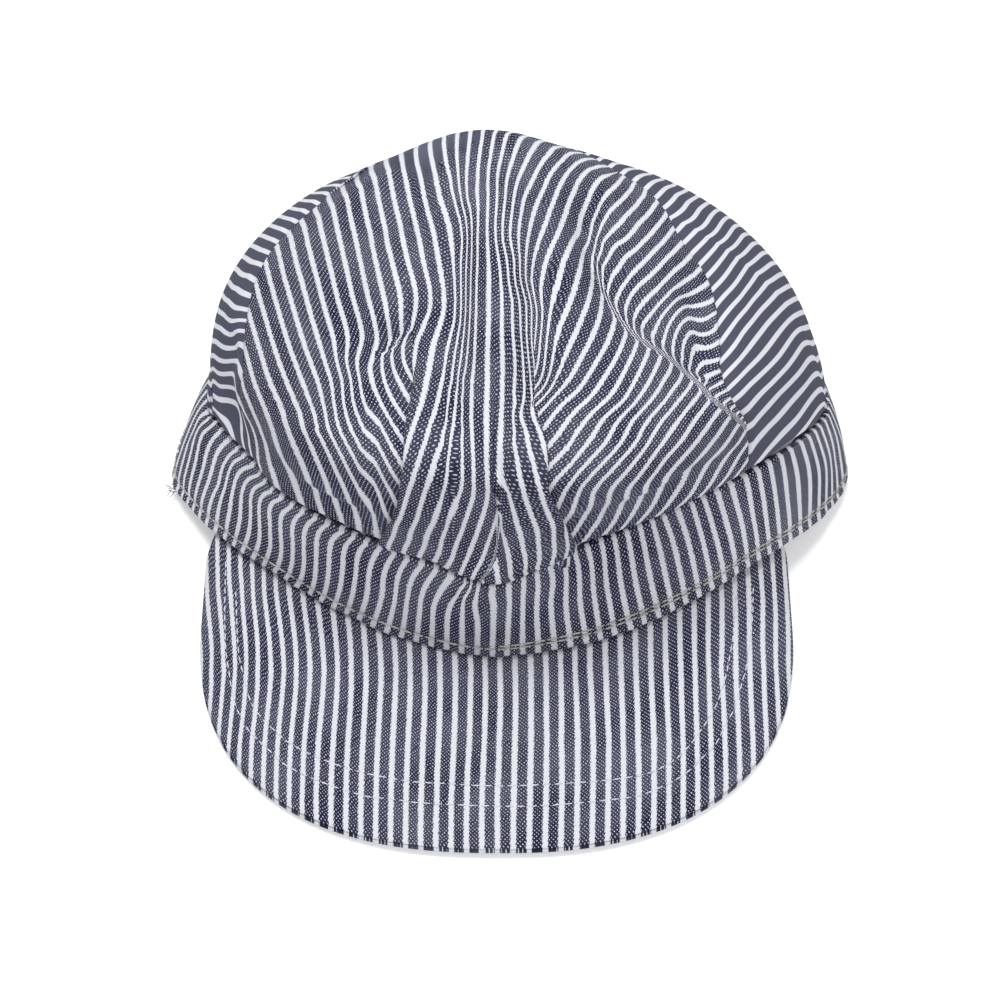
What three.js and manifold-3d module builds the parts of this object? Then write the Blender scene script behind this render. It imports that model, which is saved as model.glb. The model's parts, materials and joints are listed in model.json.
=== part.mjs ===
// Railroad engineer cap of hickory-stripe cloth, lying on a flat surface, in millimetres.
// +X is the cap's left side as its wearer has it, -Y is the visor's side and +Z is up.
// The origin lies on the surface, under the middle of the whole cap.
// The crown is a soft dome: rings of cloth are lofted from the hem inside the band to the peak,
// pleats and folds are pressed into it, and an arched seam parts it into a front and a rear piece.

import * as THREE from "three";
import { mergeVertices } from "three/addons/utils/BufferGeometryUtils.js";
import Module from "manifold-3d";

const wasm = await Module();
wasm.setup();

// Head opening and band
const HEAD_HALF_WIDTH = 105.5;
const HEAD_HALF_DEPTH = 78.5;
const FRONT_POINT = 0.55;
const BAND_WIDTH = 31;
const BAND_LIFT = 17;
const BAND_SWELL = 1.2;
const BAND_WALL = 2.2;

// Crown
const CROWN_HEIGHT = 112;
const PEAK_BACK = 42;
const PEAK_ASIDE = -9;
const CROWN_HALF_WIDTH = 96;
const CROWN_HALF_DEPTH = 73;
const EVEN_FROM = 0.4;
const CROWN_WALL = 1.4;
const HEM_DEPTH = 6;
const HEM_SHARE = 0.05;
const HEM_RISE = 1.6;
const CLEARANCE = 0.4;
const SEAM_GAP = 0.4;
const FOLD_DEPTH = 5;
const FOLD_WIDTH = 10;
const FOLD_START = 0.04;
const FOLD_FULL = 0.14;

// Visor
const VISOR_HALF_WIDTH = 88.5;
const VISOR_ASIDE = -4;
const VISOR_FRONT = 141;
const VISOR_SHOULDER = 60;
const VISOR_SIDE_START = 36;
const VISOR_ROUNDNESS = 2.4;
const VISOR_LEFT_ROUND = -62;
const VISOR_RIGHT_ROUND = 55;
const VISOR_SIDE_SHARE = 0.12;
const VISOR_TUCK = 5;
const VISOR_CLOTH = 1.7;
const VISOR_BELLY = 2.5;
const VISOR_FRONT_RISE = 1;

// Mesh fineness
const RING_COLUMNS = 80;
const CROWN_ROWS = 20;
const FRONT_DENSITY = 0.45;
const SEAM_POINTS = 40;
const VISOR_COLUMNS = 32;
const VISOR_ROWS = 7;
const FOLD_POINTS = 10;

const DEGREE = Math.PI / 180;

// The band by the angle round the head in degrees, 0 at the front and 90 at the +X side.
// lift: height of its lower edge above the surface, as a share of BAND_LIFT.
// lean: how far its upper edge stands in from its lower edge, as a share of the band's width.
const BAND_ROUND = [
  { round: -180, lift: 0, lean: 0.12 },
  { round: -110, lift: 0, lean: 0.3 },
  { round: -90, lift: 0.06, lean: 0.4 },
  { round: -72, lift: 0.35, lean: 0.44 },
  { round: -55, lift: 0.65, lean: 0.38 },
  { round: -42, lift: 0.88, lean: 0.18 },
  { round: -28, lift: 0.82, lean: 0.22 },
  { round: -14, lift: 0.71, lean: 0.2 },
  { round: -3, lift: 0.65, lean: 0.06 },
  { round: 4, lift: 0.71, lean: 0.2 },
  { round: 12, lift: 0.76, lean: 0.44 },
  { round: 28, lift: 0.94, lean: 0.44 },
  { round: 42, lift: 1, lean: 0.34 },
  { round: 56, lift: 0.71, lean: 0.32 },
  { round: 72, lift: 0.29, lean: 0.3 },
  { round: 90, lift: 0.06, lean: 0.26 },
  { round: 110, lift: 0, lean: 0.2 },
  { round: 180, lift: 0, lean: 0.12 },
];

// Outline of the band cut across. share: place between its lower and upper edge. depth: share of its wall.
const BAND_SECTION = [
  { share: 0, depth: 0.75 },
  { share: 0, depth: 0.25 },
  { share: 0.03, depth: 0 },
  { share: 0.3, depth: 0 },
  { share: 0.65, depth: 0 },
  { share: 0.96, depth: 0 },
  { share: 1, depth: 0.5 },
  { share: 0.96, depth: 1 },
  { share: 0.65, depth: 1 },
  { share: 0.3, depth: 1 },
  { share: 0.03, depth: 1 },
];

// Rings of the crown from band to peak. up: how far along the cloth the ring lies. rise: share of the height
// between band and peak. side, ahead and behind: half width and reaches as shares of the crown's half width
// and half depth, from the ring's middle. drift: share of the way the ring's middle has moved to the peak.
const RINGS = [
  { up: 0.0, rise: 0.0, side: 1.0, ahead: 1.0, behind: 1.0, drift: 0.0 },
  { up: 0.06, rise: 0.09, side: 0.99, ahead: 1.0, behind: 1.03, drift: 0.0 },
  { up: 0.15, rise: 0.22, side: 0.98, ahead: 1.05, behind: 1.04, drift: 0.05 },
  { up: 0.28, rise: 0.43, side: 0.91, ahead: 1.08, behind: 0.93, drift: 0.12 },
  { up: 0.42, rise: 0.61, side: 0.79, ahead: 1.1, behind: 0.74, drift: 0.22 },
  { up: 0.55, rise: 0.74, side: 0.65, ahead: 1.0, behind: 0.54, drift: 0.34 },
  { up: 0.7, rise: 0.86, side: 0.44, ahead: 0.81, behind: 0.33, drift: 0.54 },
  { up: 0.84, rise: 0.94, side: 0.22, ahead: 0.5, behind: 0.16, drift: 0.76 },
  { up: 1.0, rise: 1.0, side: 0.0, ahead: 0.0, behind: 0.0, drift: 1.0 },
];

// Folds and pleats of the crown. Each runs through three places, given by the angle round the head in degrees
// and the share of the way up. depth: share of FOLD_DEPTH, negative for a crease and positive for a ridge.
// width: share of FOLD_WIDTH. lap: 1 or -1 where cloth overlaps, raised on that side of the fold, else 0.
const FOLDS = [
  { fold: "left pleat", r1: -27, u1: 0.66, r2: -23, u2: 0.5, r3: -22, u3: 0.1, depth: 0.6, width: 1, lap: 1 },
  { fold: "right pleat", r1: 13, u1: 0.62, r2: 10, u2: 0.5, r3: 11, u3: 0.1, depth: 0.6, width: 1, lap: -1 },
  { fold: "middle tuck", r1: 2, u1: 0.54, r2: -1, u2: 0.42, r3: -3, u3: 0.1, depth: -0.5, width: 0.5, lap: 0 },
  { fold: "middle crease", r1: 30, u1: 0.81, r2: 17, u2: 0.74, r3: 4, u3: 0.56, depth: -0.7, width: 0.7, lap: 0 },
  { fold: "ridge to the peak", r1: 12, u1: 0.92, r2: 4, u2: 0.8, r3: -1, u3: 0.66, depth: 0.9, width: 1.2, lap: 0 },
  { fold: "crease left of it", r1: -20, u1: 0.89, r2: -13, u2: 0.75, r3: -10, u3: 0.5, depth: -0.6, width: 0.7, lap: 0 },
  { fold: "ridge right of it", r1: 58, u1: 0.82, r2: 36, u2: 0.76, r3: 20, u3: 0.66, depth: 0.6, width: 1.1, lap: 0 },
  { fold: "right crease, upper", r1: 80, u1: 0.79, r2: 54, u2: 0.76, r3: 47, u3: 0.66, depth: -0.9, width: 0.8, lap: 0 },
  { fold: "right crease, lower", r1: 47, u1: 0.64, r2: 50, u2: 0.53, r3: 53, u3: 0.4, depth: -0.9, width: 0.8, lap: 0 },
  { fold: "dent by the right seam", r1: 72, u1: 0.58, r2: 60, u2: 0.52, r3: 54, u3: 0.46, depth: -0.6, width: 0.7, lap: 0 },
  { fold: "crease over left pleat", r1: -25, u1: 0.72, r2: -34, u2: 0.65, r3: -38, u3: 0.56, depth: -0.8, width: 0.8, lap: 0 },
  { fold: "swell left of left pleat", r1: -40, u1: 0.45, r2: -36, u2: 0.35, r3: -34, u3: 0.2, depth: 0.6, width: 1.6, lap: 0 },
  { fold: "dent at the left seam", r1: -78, u1: 0.42, r2: -70, u2: 0.28, r3: -62, u3: 0.12, depth: -1, width: 1, lap: 0 },
  { fold: "swell right of right pleat", r1: 24, u1: 0.6, r2: 28, u2: 0.45, r3: 30, u3: 0.25, depth: 0.6, width: 1.6, lap: 0 },
];

// Plan of the seam between the crown's front and rear piece, from the band on the +X side over the top
// and down to the band on the -X side. aside: share of the crown's half width. back: share of its half depth.
const SEAM = [
  { aside: 0.8, back: -1.6 },
  { aside: 0.71, back: -0.72 },
  { aside: 0.66, back: -0.4 },
  { aside: 0.57, back: -0.05 },
  { aside: 0.49, back: 0.27 },
  { aside: 0.36, back: 0.45 },
  { aside: 0.15, back: 0.55 },
  { aside: -0.1, back: 0.66 },
  { aside: -0.38, back: 0.5 },
  { aside: -0.62, back: 0.32 },
  { aside: -0.74, back: 0.15 },
  { aside: -0.77, back: -0.1 },
  { aside: -0.78, back: -0.35 },
  { aside: -0.74, back: -0.68 },
  { aside: -0.8, back: -1.6 },
];

// Value at x of a smooth curve through the rows of a table.
function curveThrough(rows, key, column, x) {
  const last = rows.length - 1;
  let k = 0;
  while (k < last - 1 && x > rows[k + 1][key]) k += 1;
  const slope = (i) => {
    const a = rows[Math.max(i - 1, 0)];
    const b = rows[Math.min(i + 1, last)];
    return (b[column] - a[column]) / (b[key] - a[key]);
  };
  const from = rows[k];
  const to = rows[k + 1];
  const span = to[key] - from[key];
  const s = Math.min(Math.max((x - from[key]) / span, 0), 1);
  const s2 = s * s;
  const s3 = s2 * s;
  return (
    from[column] * (2 * s3 - 3 * s2 + 1) +
    to[column] * (3 * s2 - 2 * s3) +
    span * (slope(k) * (s3 - 2 * s2 + s) + slope(k + 1) * (s3 - s2))
  );
}

// Value of a table's column at an angle round the head, in radians. Angle 0 is the front.
function roundTheHead(rows, column, round) {
  const turned = round / DEGREE;
  return curveThrough(rows, "round", column, turned - 360 * Math.round(turned / 360));
}

// Plan of the head opening, drawn to a blunt point at the front.
function openingPlan(round) {
  const ahead = Math.cos(round);
  const reach = ahead > 0 ? ahead * (1 - FRONT_POINT * (1 - ahead)) : ahead;
  return new THREE.Vector2(HEAD_HALF_WIDTH * Math.sin(round), -HEAD_HALF_DEPTH * reach);
}

// Level direction out of the opening at an angle round the head.
function openingOutward(round) {
  const step = openingPlan(round + 0.01).sub(openingPlan(round - 0.01)).normalize();
  return new THREE.Vector2(step.y, -step.x);
}

// Point of the band: share 0 is its lower edge and 1 its upper edge, depth is measured in from its outer face.
function bandPoint(round, share, depth) {
  const lift = BAND_LIFT * Math.max(0, roundTheHead(BAND_ROUND, "lift", round));
  const lean = roundTheHead(BAND_ROUND, "lean", round) * BAND_WIDTH;
  const height = Math.sqrt(BAND_WIDTH ** 2 - lean ** 2);
  const inset = lean * share - BAND_SWELL * Math.sin(Math.PI * share) + depth;
  const plan = openingPlan(round).addScaledVector(openingOutward(round), -inset);
  return new THREE.Vector3(plan.x, plan.y, lift + height * share);
}

// Crown's outer face before its folds: a hem inside the band, then the dome.
function smoothCrown(round, up) {
  const depth = BAND_WALL + CLEARANCE;
  const hemTop = 1 + HEM_RISE / BAND_WIDTH;
  if (up < HEM_SHARE) {
    const hemFoot = 1 - HEM_DEPTH / BAND_WIDTH;
    return bandPoint(round, THREE.MathUtils.lerp(hemFoot, hemTop, up / HEM_SHARE), depth);
  }
  const climbed = (up - HEM_SHARE) / (1 - HEM_SHARE);
  const at = (column) => curveThrough(RINGS, "up", column, climbed);
  const start = bandPoint(round, hemTop, depth);
  const even = THREE.MathUtils.smoothstep(climbed, 0, EVEN_FROM);
  const sideways = THREE.MathUtils.lerp(start.x, CROWN_HALF_WIDTH * Math.sin(round), even);
  const lengthways = THREE.MathUtils.lerp(start.y, -CROWN_HALF_DEPTH * Math.cos(round), even);
  const reach = Math.cos(round) > 0 ? at("ahead") : at("behind");
  return new THREE.Vector3(
    PEAK_ASIDE * at("drift") + sideways * at("side"),
    PEAK_BACK * at("drift") + lengthways * reach,
    start.z * (1 - at("rise")) + CROWN_HEIGHT * at("rise"),
  );
}

// Outward direction of a closed face at a place on it.
function outwardOf(face, round, up) {
  const low = Math.max(up - 0.01, 0);
  const high = Math.min(up + 0.01, 0.985);
  const along = face(round + 0.02, Math.min(up, 0.985)).sub(face(round - 0.02, Math.min(up, 0.985)));
  const upward = face(round, high).sub(face(round, Math.min(low, high - 0.01)));
  return along.cross(upward).normalize();
}

const foldPaths = FOLDS.map((fold) => {
  const middleRound = 2 * fold.r2 - (fold.r1 + fold.r3) / 2;
  const middleUp = 2 * fold.u2 - (fold.u1 + fold.u3) / 2;
  const points = [];
  for (let k = 0; k < FOLD_POINTS; k += 1) {
    const t = k / (FOLD_POINTS - 1);
    const bend = (a, b, c) => a * (1 - t) ** 2 + 2 * b * t * (1 - t) + c * t * t;
    const round = bend(fold.r1, middleRound, fold.r3) * DEGREE;
    points.push(smoothCrown(round, bend(fold.u1, middleUp, fold.u3)));
  }
  return { fold, points };
});

// How far the folds move the cloth outward at a point of the smooth crown.
function foldMove(point, outward) {
  let move = 0;
  for (const { fold, points } of foldPaths) {
    let nearest = Infinity;
    let side = 1;
    for (let k = 0; k + 1 < points.length; k += 1) {
      const along = points[k + 1].clone().sub(points[k]);
      const toPoint = point.clone().sub(points[k]);
      const t = THREE.MathUtils.clamp(toPoint.dot(along) / along.lengthSq(), 0, 1);
      const away = toPoint.addScaledVector(along, -t);
      if (away.length() < nearest) {
        nearest = away.length();
        side = Math.sign(along.cross(away).dot(outward)) || 1;
      }
    }
    const reach = nearest / (fold.width * FOLD_WIDTH);
    const height = fold.depth * FOLD_DEPTH;
    if (fold.lap === 0) move += height * Math.exp(-reach * reach);
    else move += height * 0.5 * Math.tanh((side * fold.lap * nearest) / 1.5) * Math.exp(-reach);
  }
  return move;
}

// Crown's outer face with its folds.
function crownPoint(round, up) {
  const point = smoothCrown(round, up);
  const outward = outwardOf(smoothCrown, round, up);
  const share = THREE.MathUtils.smoothstep(up, FOLD_START, FOLD_FULL);
  return share > 0 ? point.addScaledVector(outward, share * foldMove(point, outward)) : point;
}

function crownInnerPoint(round, up) {
  const outward = outwardOf(crownPoint, round, up);
  return crownPoint(round, up).addScaledVector(outward, -CROWN_WALL);
}

// Closed body from rings of equal length. The first ring joins the last; each ring closes on itself.
function bodyFromLoops(loops) {
  const points = [];
  const triangles = [];
  const count = loops[0].length;
  loops.forEach((loop) => points.push(...loop));
  loops.forEach((loop, j) => {
    const next = (j + 1) % loops.length;
    for (let i = 0; i < count; i += 1) {
      const a = j * count + i;
      const b = j * count + ((i + 1) % count);
      const c = next * count + ((i + 1) % count);
      const d = next * count + i;
      triangles.push(a, b, c, a, c, d);
    }
  });
  return bodyFrom(points, triangles);
}

function bodyFrom(points, triangles) {
  const mesh = new wasm.Mesh({
    numProp: 3,
    vertProperties: new Float32Array(points.flatMap((point) => point.toArray())),
    triVerts: new Uint32Array(triangles),
  });
  mesh.merge();
  return new wasm.Manifold(mesh);
}

// Angles round the head, closer together at the front.
const ringRounds = [];
for (let i = 0; i < RING_COLUMNS; i += 1) {
  const even = (2 * Math.PI * i) / RING_COLUMNS - Math.PI;
  ringRounds.push(even - FRONT_DENSITY * Math.sin(even));
}

// Crown as one shell: outer rings up to the peak, inner rings back down to the hem.
function crownBody() {
  const points = [];
  const triangles = [];
  for (const face of [crownPoint, crownInnerPoint]) {
    for (let j = 0; j < CROWN_ROWS; j += 1) {
      for (const round of ringRounds) points.push(face(round, j / CROWN_ROWS));
    }
  }
  const peak = smoothCrown(0, 1);
  points.push(peak, peak.clone().setZ(peak.z - CROWN_WALL));
  const outerPeak = points.length - 2;
  const at = (face, j, i) => (face * CROWN_ROWS + j) * RING_COLUMNS + (i % RING_COLUMNS);
  for (let i = 0; i < RING_COLUMNS; i += 1) {
    for (let j = 0; j + 1 < CROWN_ROWS; j += 1) {
      const [a, b, c, d] = [at(0, j, i), at(0, j, i + 1), at(0, j + 1, i + 1), at(0, j + 1, i)];
      triangles.push(a, b, c, a, c, d);
      const [e, f, g, h] = [at(1, j, i), at(1, j, i + 1), at(1, j + 1, i + 1), at(1, j + 1, i)];
      triangles.push(e, g, f, e, h, g);
    }
    triangles.push(at(0, CROWN_ROWS - 1, i), at(0, CROWN_ROWS - 1, i + 1), outerPeak);
    triangles.push(at(1, CROWN_ROWS - 1, i + 1), at(1, CROWN_ROWS - 1, i), outerPeak + 1);
    triangles.push(at(0, 0, i + 1), at(0, 0, i), at(1, 0, i));
    triangles.push(at(0, 0, i + 1), at(1, 0, i), at(1, 0, i + 1));
  }
  return bodyFrom(points, triangles);
}

// Upright block that fills the arch of the seam, moved out from the seam by a distance.
function seamBlock(outward) {
  const places = SEAM.map((row) => new THREE.Vector2(row.aside * CROWN_HALF_WIDTH, row.back * CROWN_HALF_DEPTH));
  const curve = new THREE.SplineCurve(places);
  const points = [];
  for (let k = 0; k <= SEAM_POINTS; k += 1) {
    const along = curve.getTangent(k / SEAM_POINTS);
    const out = new THREE.Vector2(along.y, -along.x);
    points.push(curve.getPoint(k / SEAM_POINTS).addScaledVector(out, outward));
  }
  const block = new THREE.ExtrudeGeometry(new THREE.Shape(points), { depth: 2 * CROWN_HEIGHT, bevelEnabled: false });
  block.deleteAttribute("normal");
  block.deleteAttribute("uv");
  return bodyOf(mergeVertices(block, 1e-4));
}

function bodyOf(geometry) {
  const mesh = new wasm.Mesh({
    numProp: 3,
    vertProperties: new Float32Array(geometry.attributes.position.array),
    triVerts: new Uint32Array(geometry.index.array),
  });
  return new wasm.Manifold(mesh);
}

function bandBody() {
  const loopAt = ({ share, depth }) => ringRounds.map((round) => bandPoint(round, share, depth * BAND_WALL));
  return bodyFromLoops(BAND_SECTION.map(loopAt));
}

// Plan of the visor's outer edge, from the -X side at 0 round the front to the +X side at 1.
function visorEdge(across) {
  const side = across < 0.5 ? -1 : 1;
  const inward = Math.min(across, 1 - across);
  const edgeX = VISOR_ASIDE + side * VISOR_HALF_WIDTH;
  if (inward < VISOR_SIDE_SHARE) {
    const y = THREE.MathUtils.lerp(VISOR_SIDE_START, VISOR_SHOULDER, inward / VISOR_SIDE_SHARE);
    return new THREE.Vector3(edgeX, -y, 0);
  }
  const turn = (inward - VISOR_SIDE_SHARE) / (0.5 - VISOR_SIDE_SHARE);
  const power = 2 / VISOR_ROUNDNESS;
  const angle = (turn * Math.PI) / 2;
  return new THREE.Vector3(
    VISOR_ASIDE + side * VISOR_HALF_WIDTH * Math.cos(angle) ** power,
    -VISOR_SHOULDER - (VISOR_FRONT - VISOR_SHOULDER) * Math.sin(angle) ** power,
    VISOR_FRONT_RISE * Math.sin(angle) ** 2,
  );
}

// Point of the visor: across runs along its edge, out from inside the band to the outer edge.
// depth is measured down from its upper face.
function visorPoint(across, out, depth) {
  const round = THREE.MathUtils.lerp(VISOR_LEFT_ROUND, VISOR_RIGHT_ROUND, across) * DEGREE;
  const foot = bandPoint(round, 0, BAND_WALL + VISOR_TUCK);
  const edge = visorEdge(across);
  const thickness = 2 * VISOR_CLOTH + CLEARANCE;
  const plan = foot.clone().lerp(edge, out);
  const fall = THREE.MathUtils.smootherstep(out, -0.6, 1.25);
  const top = THREE.MathUtils.lerp(foot.z - CLEARANCE, edge.z + thickness, out);
  const belly = VISOR_BELLY * Math.sin(Math.PI * out) * fall;
  return plan.setZ(top + belly - depth);
}

function visorBody(depth) {
  const points = [];
  const triangles = [];
  const columns = VISOR_COLUMNS + 1;
  const rows = VISOR_ROWS + 1;
  for (const down of [depth, depth + VISOR_CLOTH]) {
    for (let j = 0; j < rows; j += 1) {
      for (let i = 0; i < columns; i += 1) points.push(visorPoint(i / VISOR_COLUMNS, j / VISOR_ROWS, down));
    }
  }
  const at = (face, j, i) => (face * rows + j) * columns + i;
  const quad = (a, b, c, d) => triangles.push(a, b, c, a, c, d);
  for (let j = 0; j < VISOR_ROWS; j += 1) {
    for (let i = 0; i < VISOR_COLUMNS; i += 1) {
      quad(at(0, j, i), at(0, j + 1, i), at(0, j + 1, i + 1), at(0, j, i + 1));
      quad(at(1, j, i), at(1, j, i + 1), at(1, j + 1, i + 1), at(1, j + 1, i));
    }
    quad(at(0, j, 0), at(1, j, 0), at(1, j + 1, 0), at(0, j + 1, 0));
    const end = VISOR_COLUMNS;
    quad(at(0, j + 1, end), at(1, j + 1, end), at(1, j, end), at(0, j, end));
  }
  for (let i = 0; i < VISOR_COLUMNS; i += 1) {
    quad(at(0, 0, i), at(0, 0, i + 1), at(1, 0, i + 1), at(1, 0, i));
    const end = VISOR_ROWS;
    quad(at(0, end, i + 1), at(0, end, i), at(1, end, i), at(1, end, i + 1));
  }
  return bodyFrom(points, triangles);
}

function geometryOf(body) {
  const mesh = body.getMesh();
  const positions = [];
  for (const index of mesh.triVerts) {
    positions.push(...mesh.vertProperties.slice(index * mesh.numProp, index * mesh.numProp + 3));
  }
  const geometry = new THREE.BufferGeometry();
  geometry.setAttribute("position", new THREE.Float32BufferAttribute(positions, 3));
  return mergeVertices(geometry, 1e-3);
}

const crown = crownBody();

const pieces = [
  { name: "crown_front", body: crown.intersect(seamBlock(-SEAM_GAP / 2)), color: 0x6d7391 },
  { name: "crown_rear", body: crown.subtract(seamBlock(SEAM_GAP / 2)), color: 0x6a708c },
  { name: "band", body: bandBody(), color: 0x656b89 },
  { name: "visor_top", body: visorBody(0), color: 0x7b819c },
  { name: "visor_under", body: visorBody(VISOR_CLOTH + CLEARANCE), color: 0x757b96 },
];

const cap = new THREE.Group();
cap.name = "railroad_engineer_cap";
for (const { name, body, color } of pieces) {
  const material = new THREE.MeshStandardMaterial({ color, roughness: 0.95, metalness: 0 });
  material.name = `${name}_cloth`;
  const mesh = new THREE.Mesh(geometryOf(body), material);
  mesh.name = name;
  cap.add(mesh);
}

// Set the origin under the middle of the whole cap, on the surface.
const bounds = new THREE.Box3().setFromObject(cap);
const middle = bounds.getCenter(new THREE.Vector3());
for (const mesh of cap.children) mesh.geometry.translate(-middle.x, -middle.y, -bounds.min.z);

export default cap;
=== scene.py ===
import json
import math

import bpy
import numpy as np
from bpy.props import FloatProperty, FloatVectorProperty, PointerProperty
from mathutils import Matrix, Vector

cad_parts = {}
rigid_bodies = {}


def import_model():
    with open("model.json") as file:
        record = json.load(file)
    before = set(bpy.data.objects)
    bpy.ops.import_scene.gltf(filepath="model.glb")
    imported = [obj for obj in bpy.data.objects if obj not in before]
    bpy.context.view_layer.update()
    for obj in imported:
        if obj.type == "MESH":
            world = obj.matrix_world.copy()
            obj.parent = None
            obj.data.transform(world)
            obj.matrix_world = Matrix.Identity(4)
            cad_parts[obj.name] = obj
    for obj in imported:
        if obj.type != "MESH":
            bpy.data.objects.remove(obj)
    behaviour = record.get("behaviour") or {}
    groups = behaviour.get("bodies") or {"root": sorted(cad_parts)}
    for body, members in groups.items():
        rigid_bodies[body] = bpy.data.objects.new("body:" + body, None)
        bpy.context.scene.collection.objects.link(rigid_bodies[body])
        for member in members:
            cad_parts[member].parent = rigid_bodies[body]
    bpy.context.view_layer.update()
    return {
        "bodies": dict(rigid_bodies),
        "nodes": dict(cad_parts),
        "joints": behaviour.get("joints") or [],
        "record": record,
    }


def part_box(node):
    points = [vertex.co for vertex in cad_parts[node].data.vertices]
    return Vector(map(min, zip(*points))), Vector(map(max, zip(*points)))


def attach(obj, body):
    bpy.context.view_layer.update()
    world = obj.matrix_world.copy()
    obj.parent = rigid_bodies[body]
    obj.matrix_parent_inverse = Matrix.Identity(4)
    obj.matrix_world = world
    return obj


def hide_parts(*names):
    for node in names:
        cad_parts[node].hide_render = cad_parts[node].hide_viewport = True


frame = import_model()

bl_info = {
    "name": "Railroad engineer cap",
    "version": (1, 0, 0),
    "blender": (4, 5, 0),
    "location": "3D View > Sidebar > Cap",
    "description": "Dresses a railroad engineer cap in hickory-stripe twill",
    "category": "Add Mesh",
}

# Lengths are in millimetres until a mesh is made, and the cap's own frame has the head opening's
# middle as its origin: +X is the wearer's left side, -Y the visor's side and +Z is up.
# "turn" is the angle round the head, 0 at the front and 90 at the +X side. "up" runs along the
# cloth from the crown's hem at 0 to its peak at 1.
MM = 0.001
DEGREE = math.pi / 180

# Head opening and band, the same sizes as the frame's own solids.
HEAD_HALF_WIDTH = 105.5
HEAD_HALF_DEPTH = 78.5
FRONT_POINT = 0.55
BAND_WIDTH = 31
BAND_LIFT = 17
BAND_SWELL = 1.2
BAND_WALL = 2.2
CLEARANCE = 0.4

# Crown
CROWN_HEIGHT = 112
PEAK_BACK = 42
PEAK_ASIDE = -9
CROWN_HALF_WIDTH = 96
CROWN_HALF_DEPTH = 73
EVEN_FROM = 0.4
HEM_DEPTH = 6
HEM_SHARE = 0.05
HEM_RISE = 1.6
HEM_SWELL = 2

# Visor
VISOR_HALF_WIDTH = 88.5
VISOR_ASIDE = -4
VISOR_FRONT = 141
VISOR_SHOULDER = 60
VISOR_SIDE_START = 36
VISOR_ROUNDNESS = 2.4
VISOR_LEFT_TURN = -62
VISOR_RIGHT_TURN = 55
VISOR_SIDE_SHARE = 0.12
VISOR_TUCK = 5
VISOR_CLOTH = 1.7
VISOR_BELLY = 2.5
VISOR_FRONT_RISE = 1

# The band round the head: turn in degrees, lift of its lower edge as a share of BAND_LIFT, and how far
# its upper edge stands in, as a share of the band's width.
BAND_ROUND = np.array([
    (-180, 0, 0.12), (-110, 0, 0.3), (-90, 0.06, 0.4), (-72, 0.35, 0.44), (-55, 0.65, 0.38),
    (-42, 0.88, 0.18), (-28, 0.82, 0.22), (-14, 0.71, 0.2), (-3, 0.65, 0.06), (4, 0.71, 0.2),
    (12, 0.76, 0.44), (28, 0.94, 0.44), (42, 1, 0.34), (56, 0.71, 0.32), (72, 0.29, 0.3),
    (90, 0.06, 0.26), (110, 0, 0.2), (180, 0, 0.12),
])

# Rings of the crown: up, rise, side, ahead, behind, drift.
RINGS = np.array([
    (0.0, 0.0, 1.0, 1.0, 1.0, 0.0), (0.06, 0.09, 0.99, 1.0, 1.03, 0.0),
    (0.15, 0.22, 0.98, 1.05, 1.04, 0.05), (0.28, 0.43, 0.91, 1.08, 0.93, 0.12),
    (0.42, 0.61, 0.79, 1.1, 0.74, 0.22), (0.55, 0.74, 0.65, 1.0, 0.54, 0.34),
    (0.7, 0.86, 0.44, 0.81, 0.33, 0.54), (0.84, 0.94, 0.22, 0.5, 0.16, 0.76),
    (1.0, 1.0, 0.0, 0.0, 0.0, 1.0),
])

# Folds of the slack crown: places it runs through as (turn, up), its height in millimetres (less than
# nothing for a crease), its half width in millimetres, and how sharp its bottom is from 0 to 1.
CROWN_FOLDS = (
    ("left of the ridge", ((-24, 0.9), (-15, 0.81), (-12, 0.71), (-11, 0.62), (-10, 0.5)), -4.6, 6.5, 0.8),
    ("middle crease", ((48, 0.87), (36, 0.82), (21, 0.77), (14, 0.73), (9, 0.65), (4, 0.56), (1, 0.5)),
     -4.8, 7.5, 0.8),
    ("middle tuck", ((3, 0.56), (1, 0.51), (-1, 0.43), (-2, 0.27), (-3, 0.02)), -2.4, 6, 0.8),
    ("right crease", ((98, 0.79), (74, 0.79), (55, 0.76), (51, 0.71), (52, 0.64), (53, 0.56), (55, 0.42)),
     -5, 8, 0.8),
    ("crease over left pleat", ((-24, 0.77), (-33, 0.7), (-38, 0.64), (-40, 0.57)), -4.4, 7, 0.8),
    ("dent by the right seam", ((74, 0.62), (65, 0.56), (58, 0.52), (54, 0.47)), -3, 7, 0.6),
    ("left seam dent", ((-78, 0.42), (-74, 0.28), (-68, 0.14), (-66, 0.05)), -4, 10, 0.3),
    ("ridge to the peak", ((11, 0.95), (10, 0.85), (4, 0.77), (0, 0.66)), 4, 11, 0),
    ("ridge right of it", ((60, 0.82), (36, 0.77), (24, 0.71), (14, 0.62)), 3, 10, 0),
    ("ridge left of it", ((-64, 0.79), (-44, 0.74), (-36, 0.66)), 3, 10, 0),
    ("swell left of left pleat", ((-40, 0.48), (-36, 0.35), (-34, 0.15)), 3, 15, 0),
    ("swell right of right pleat", ((24, 0.62), (28, 0.45), (30, 0.2)), 3, 15, 0),
)

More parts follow.
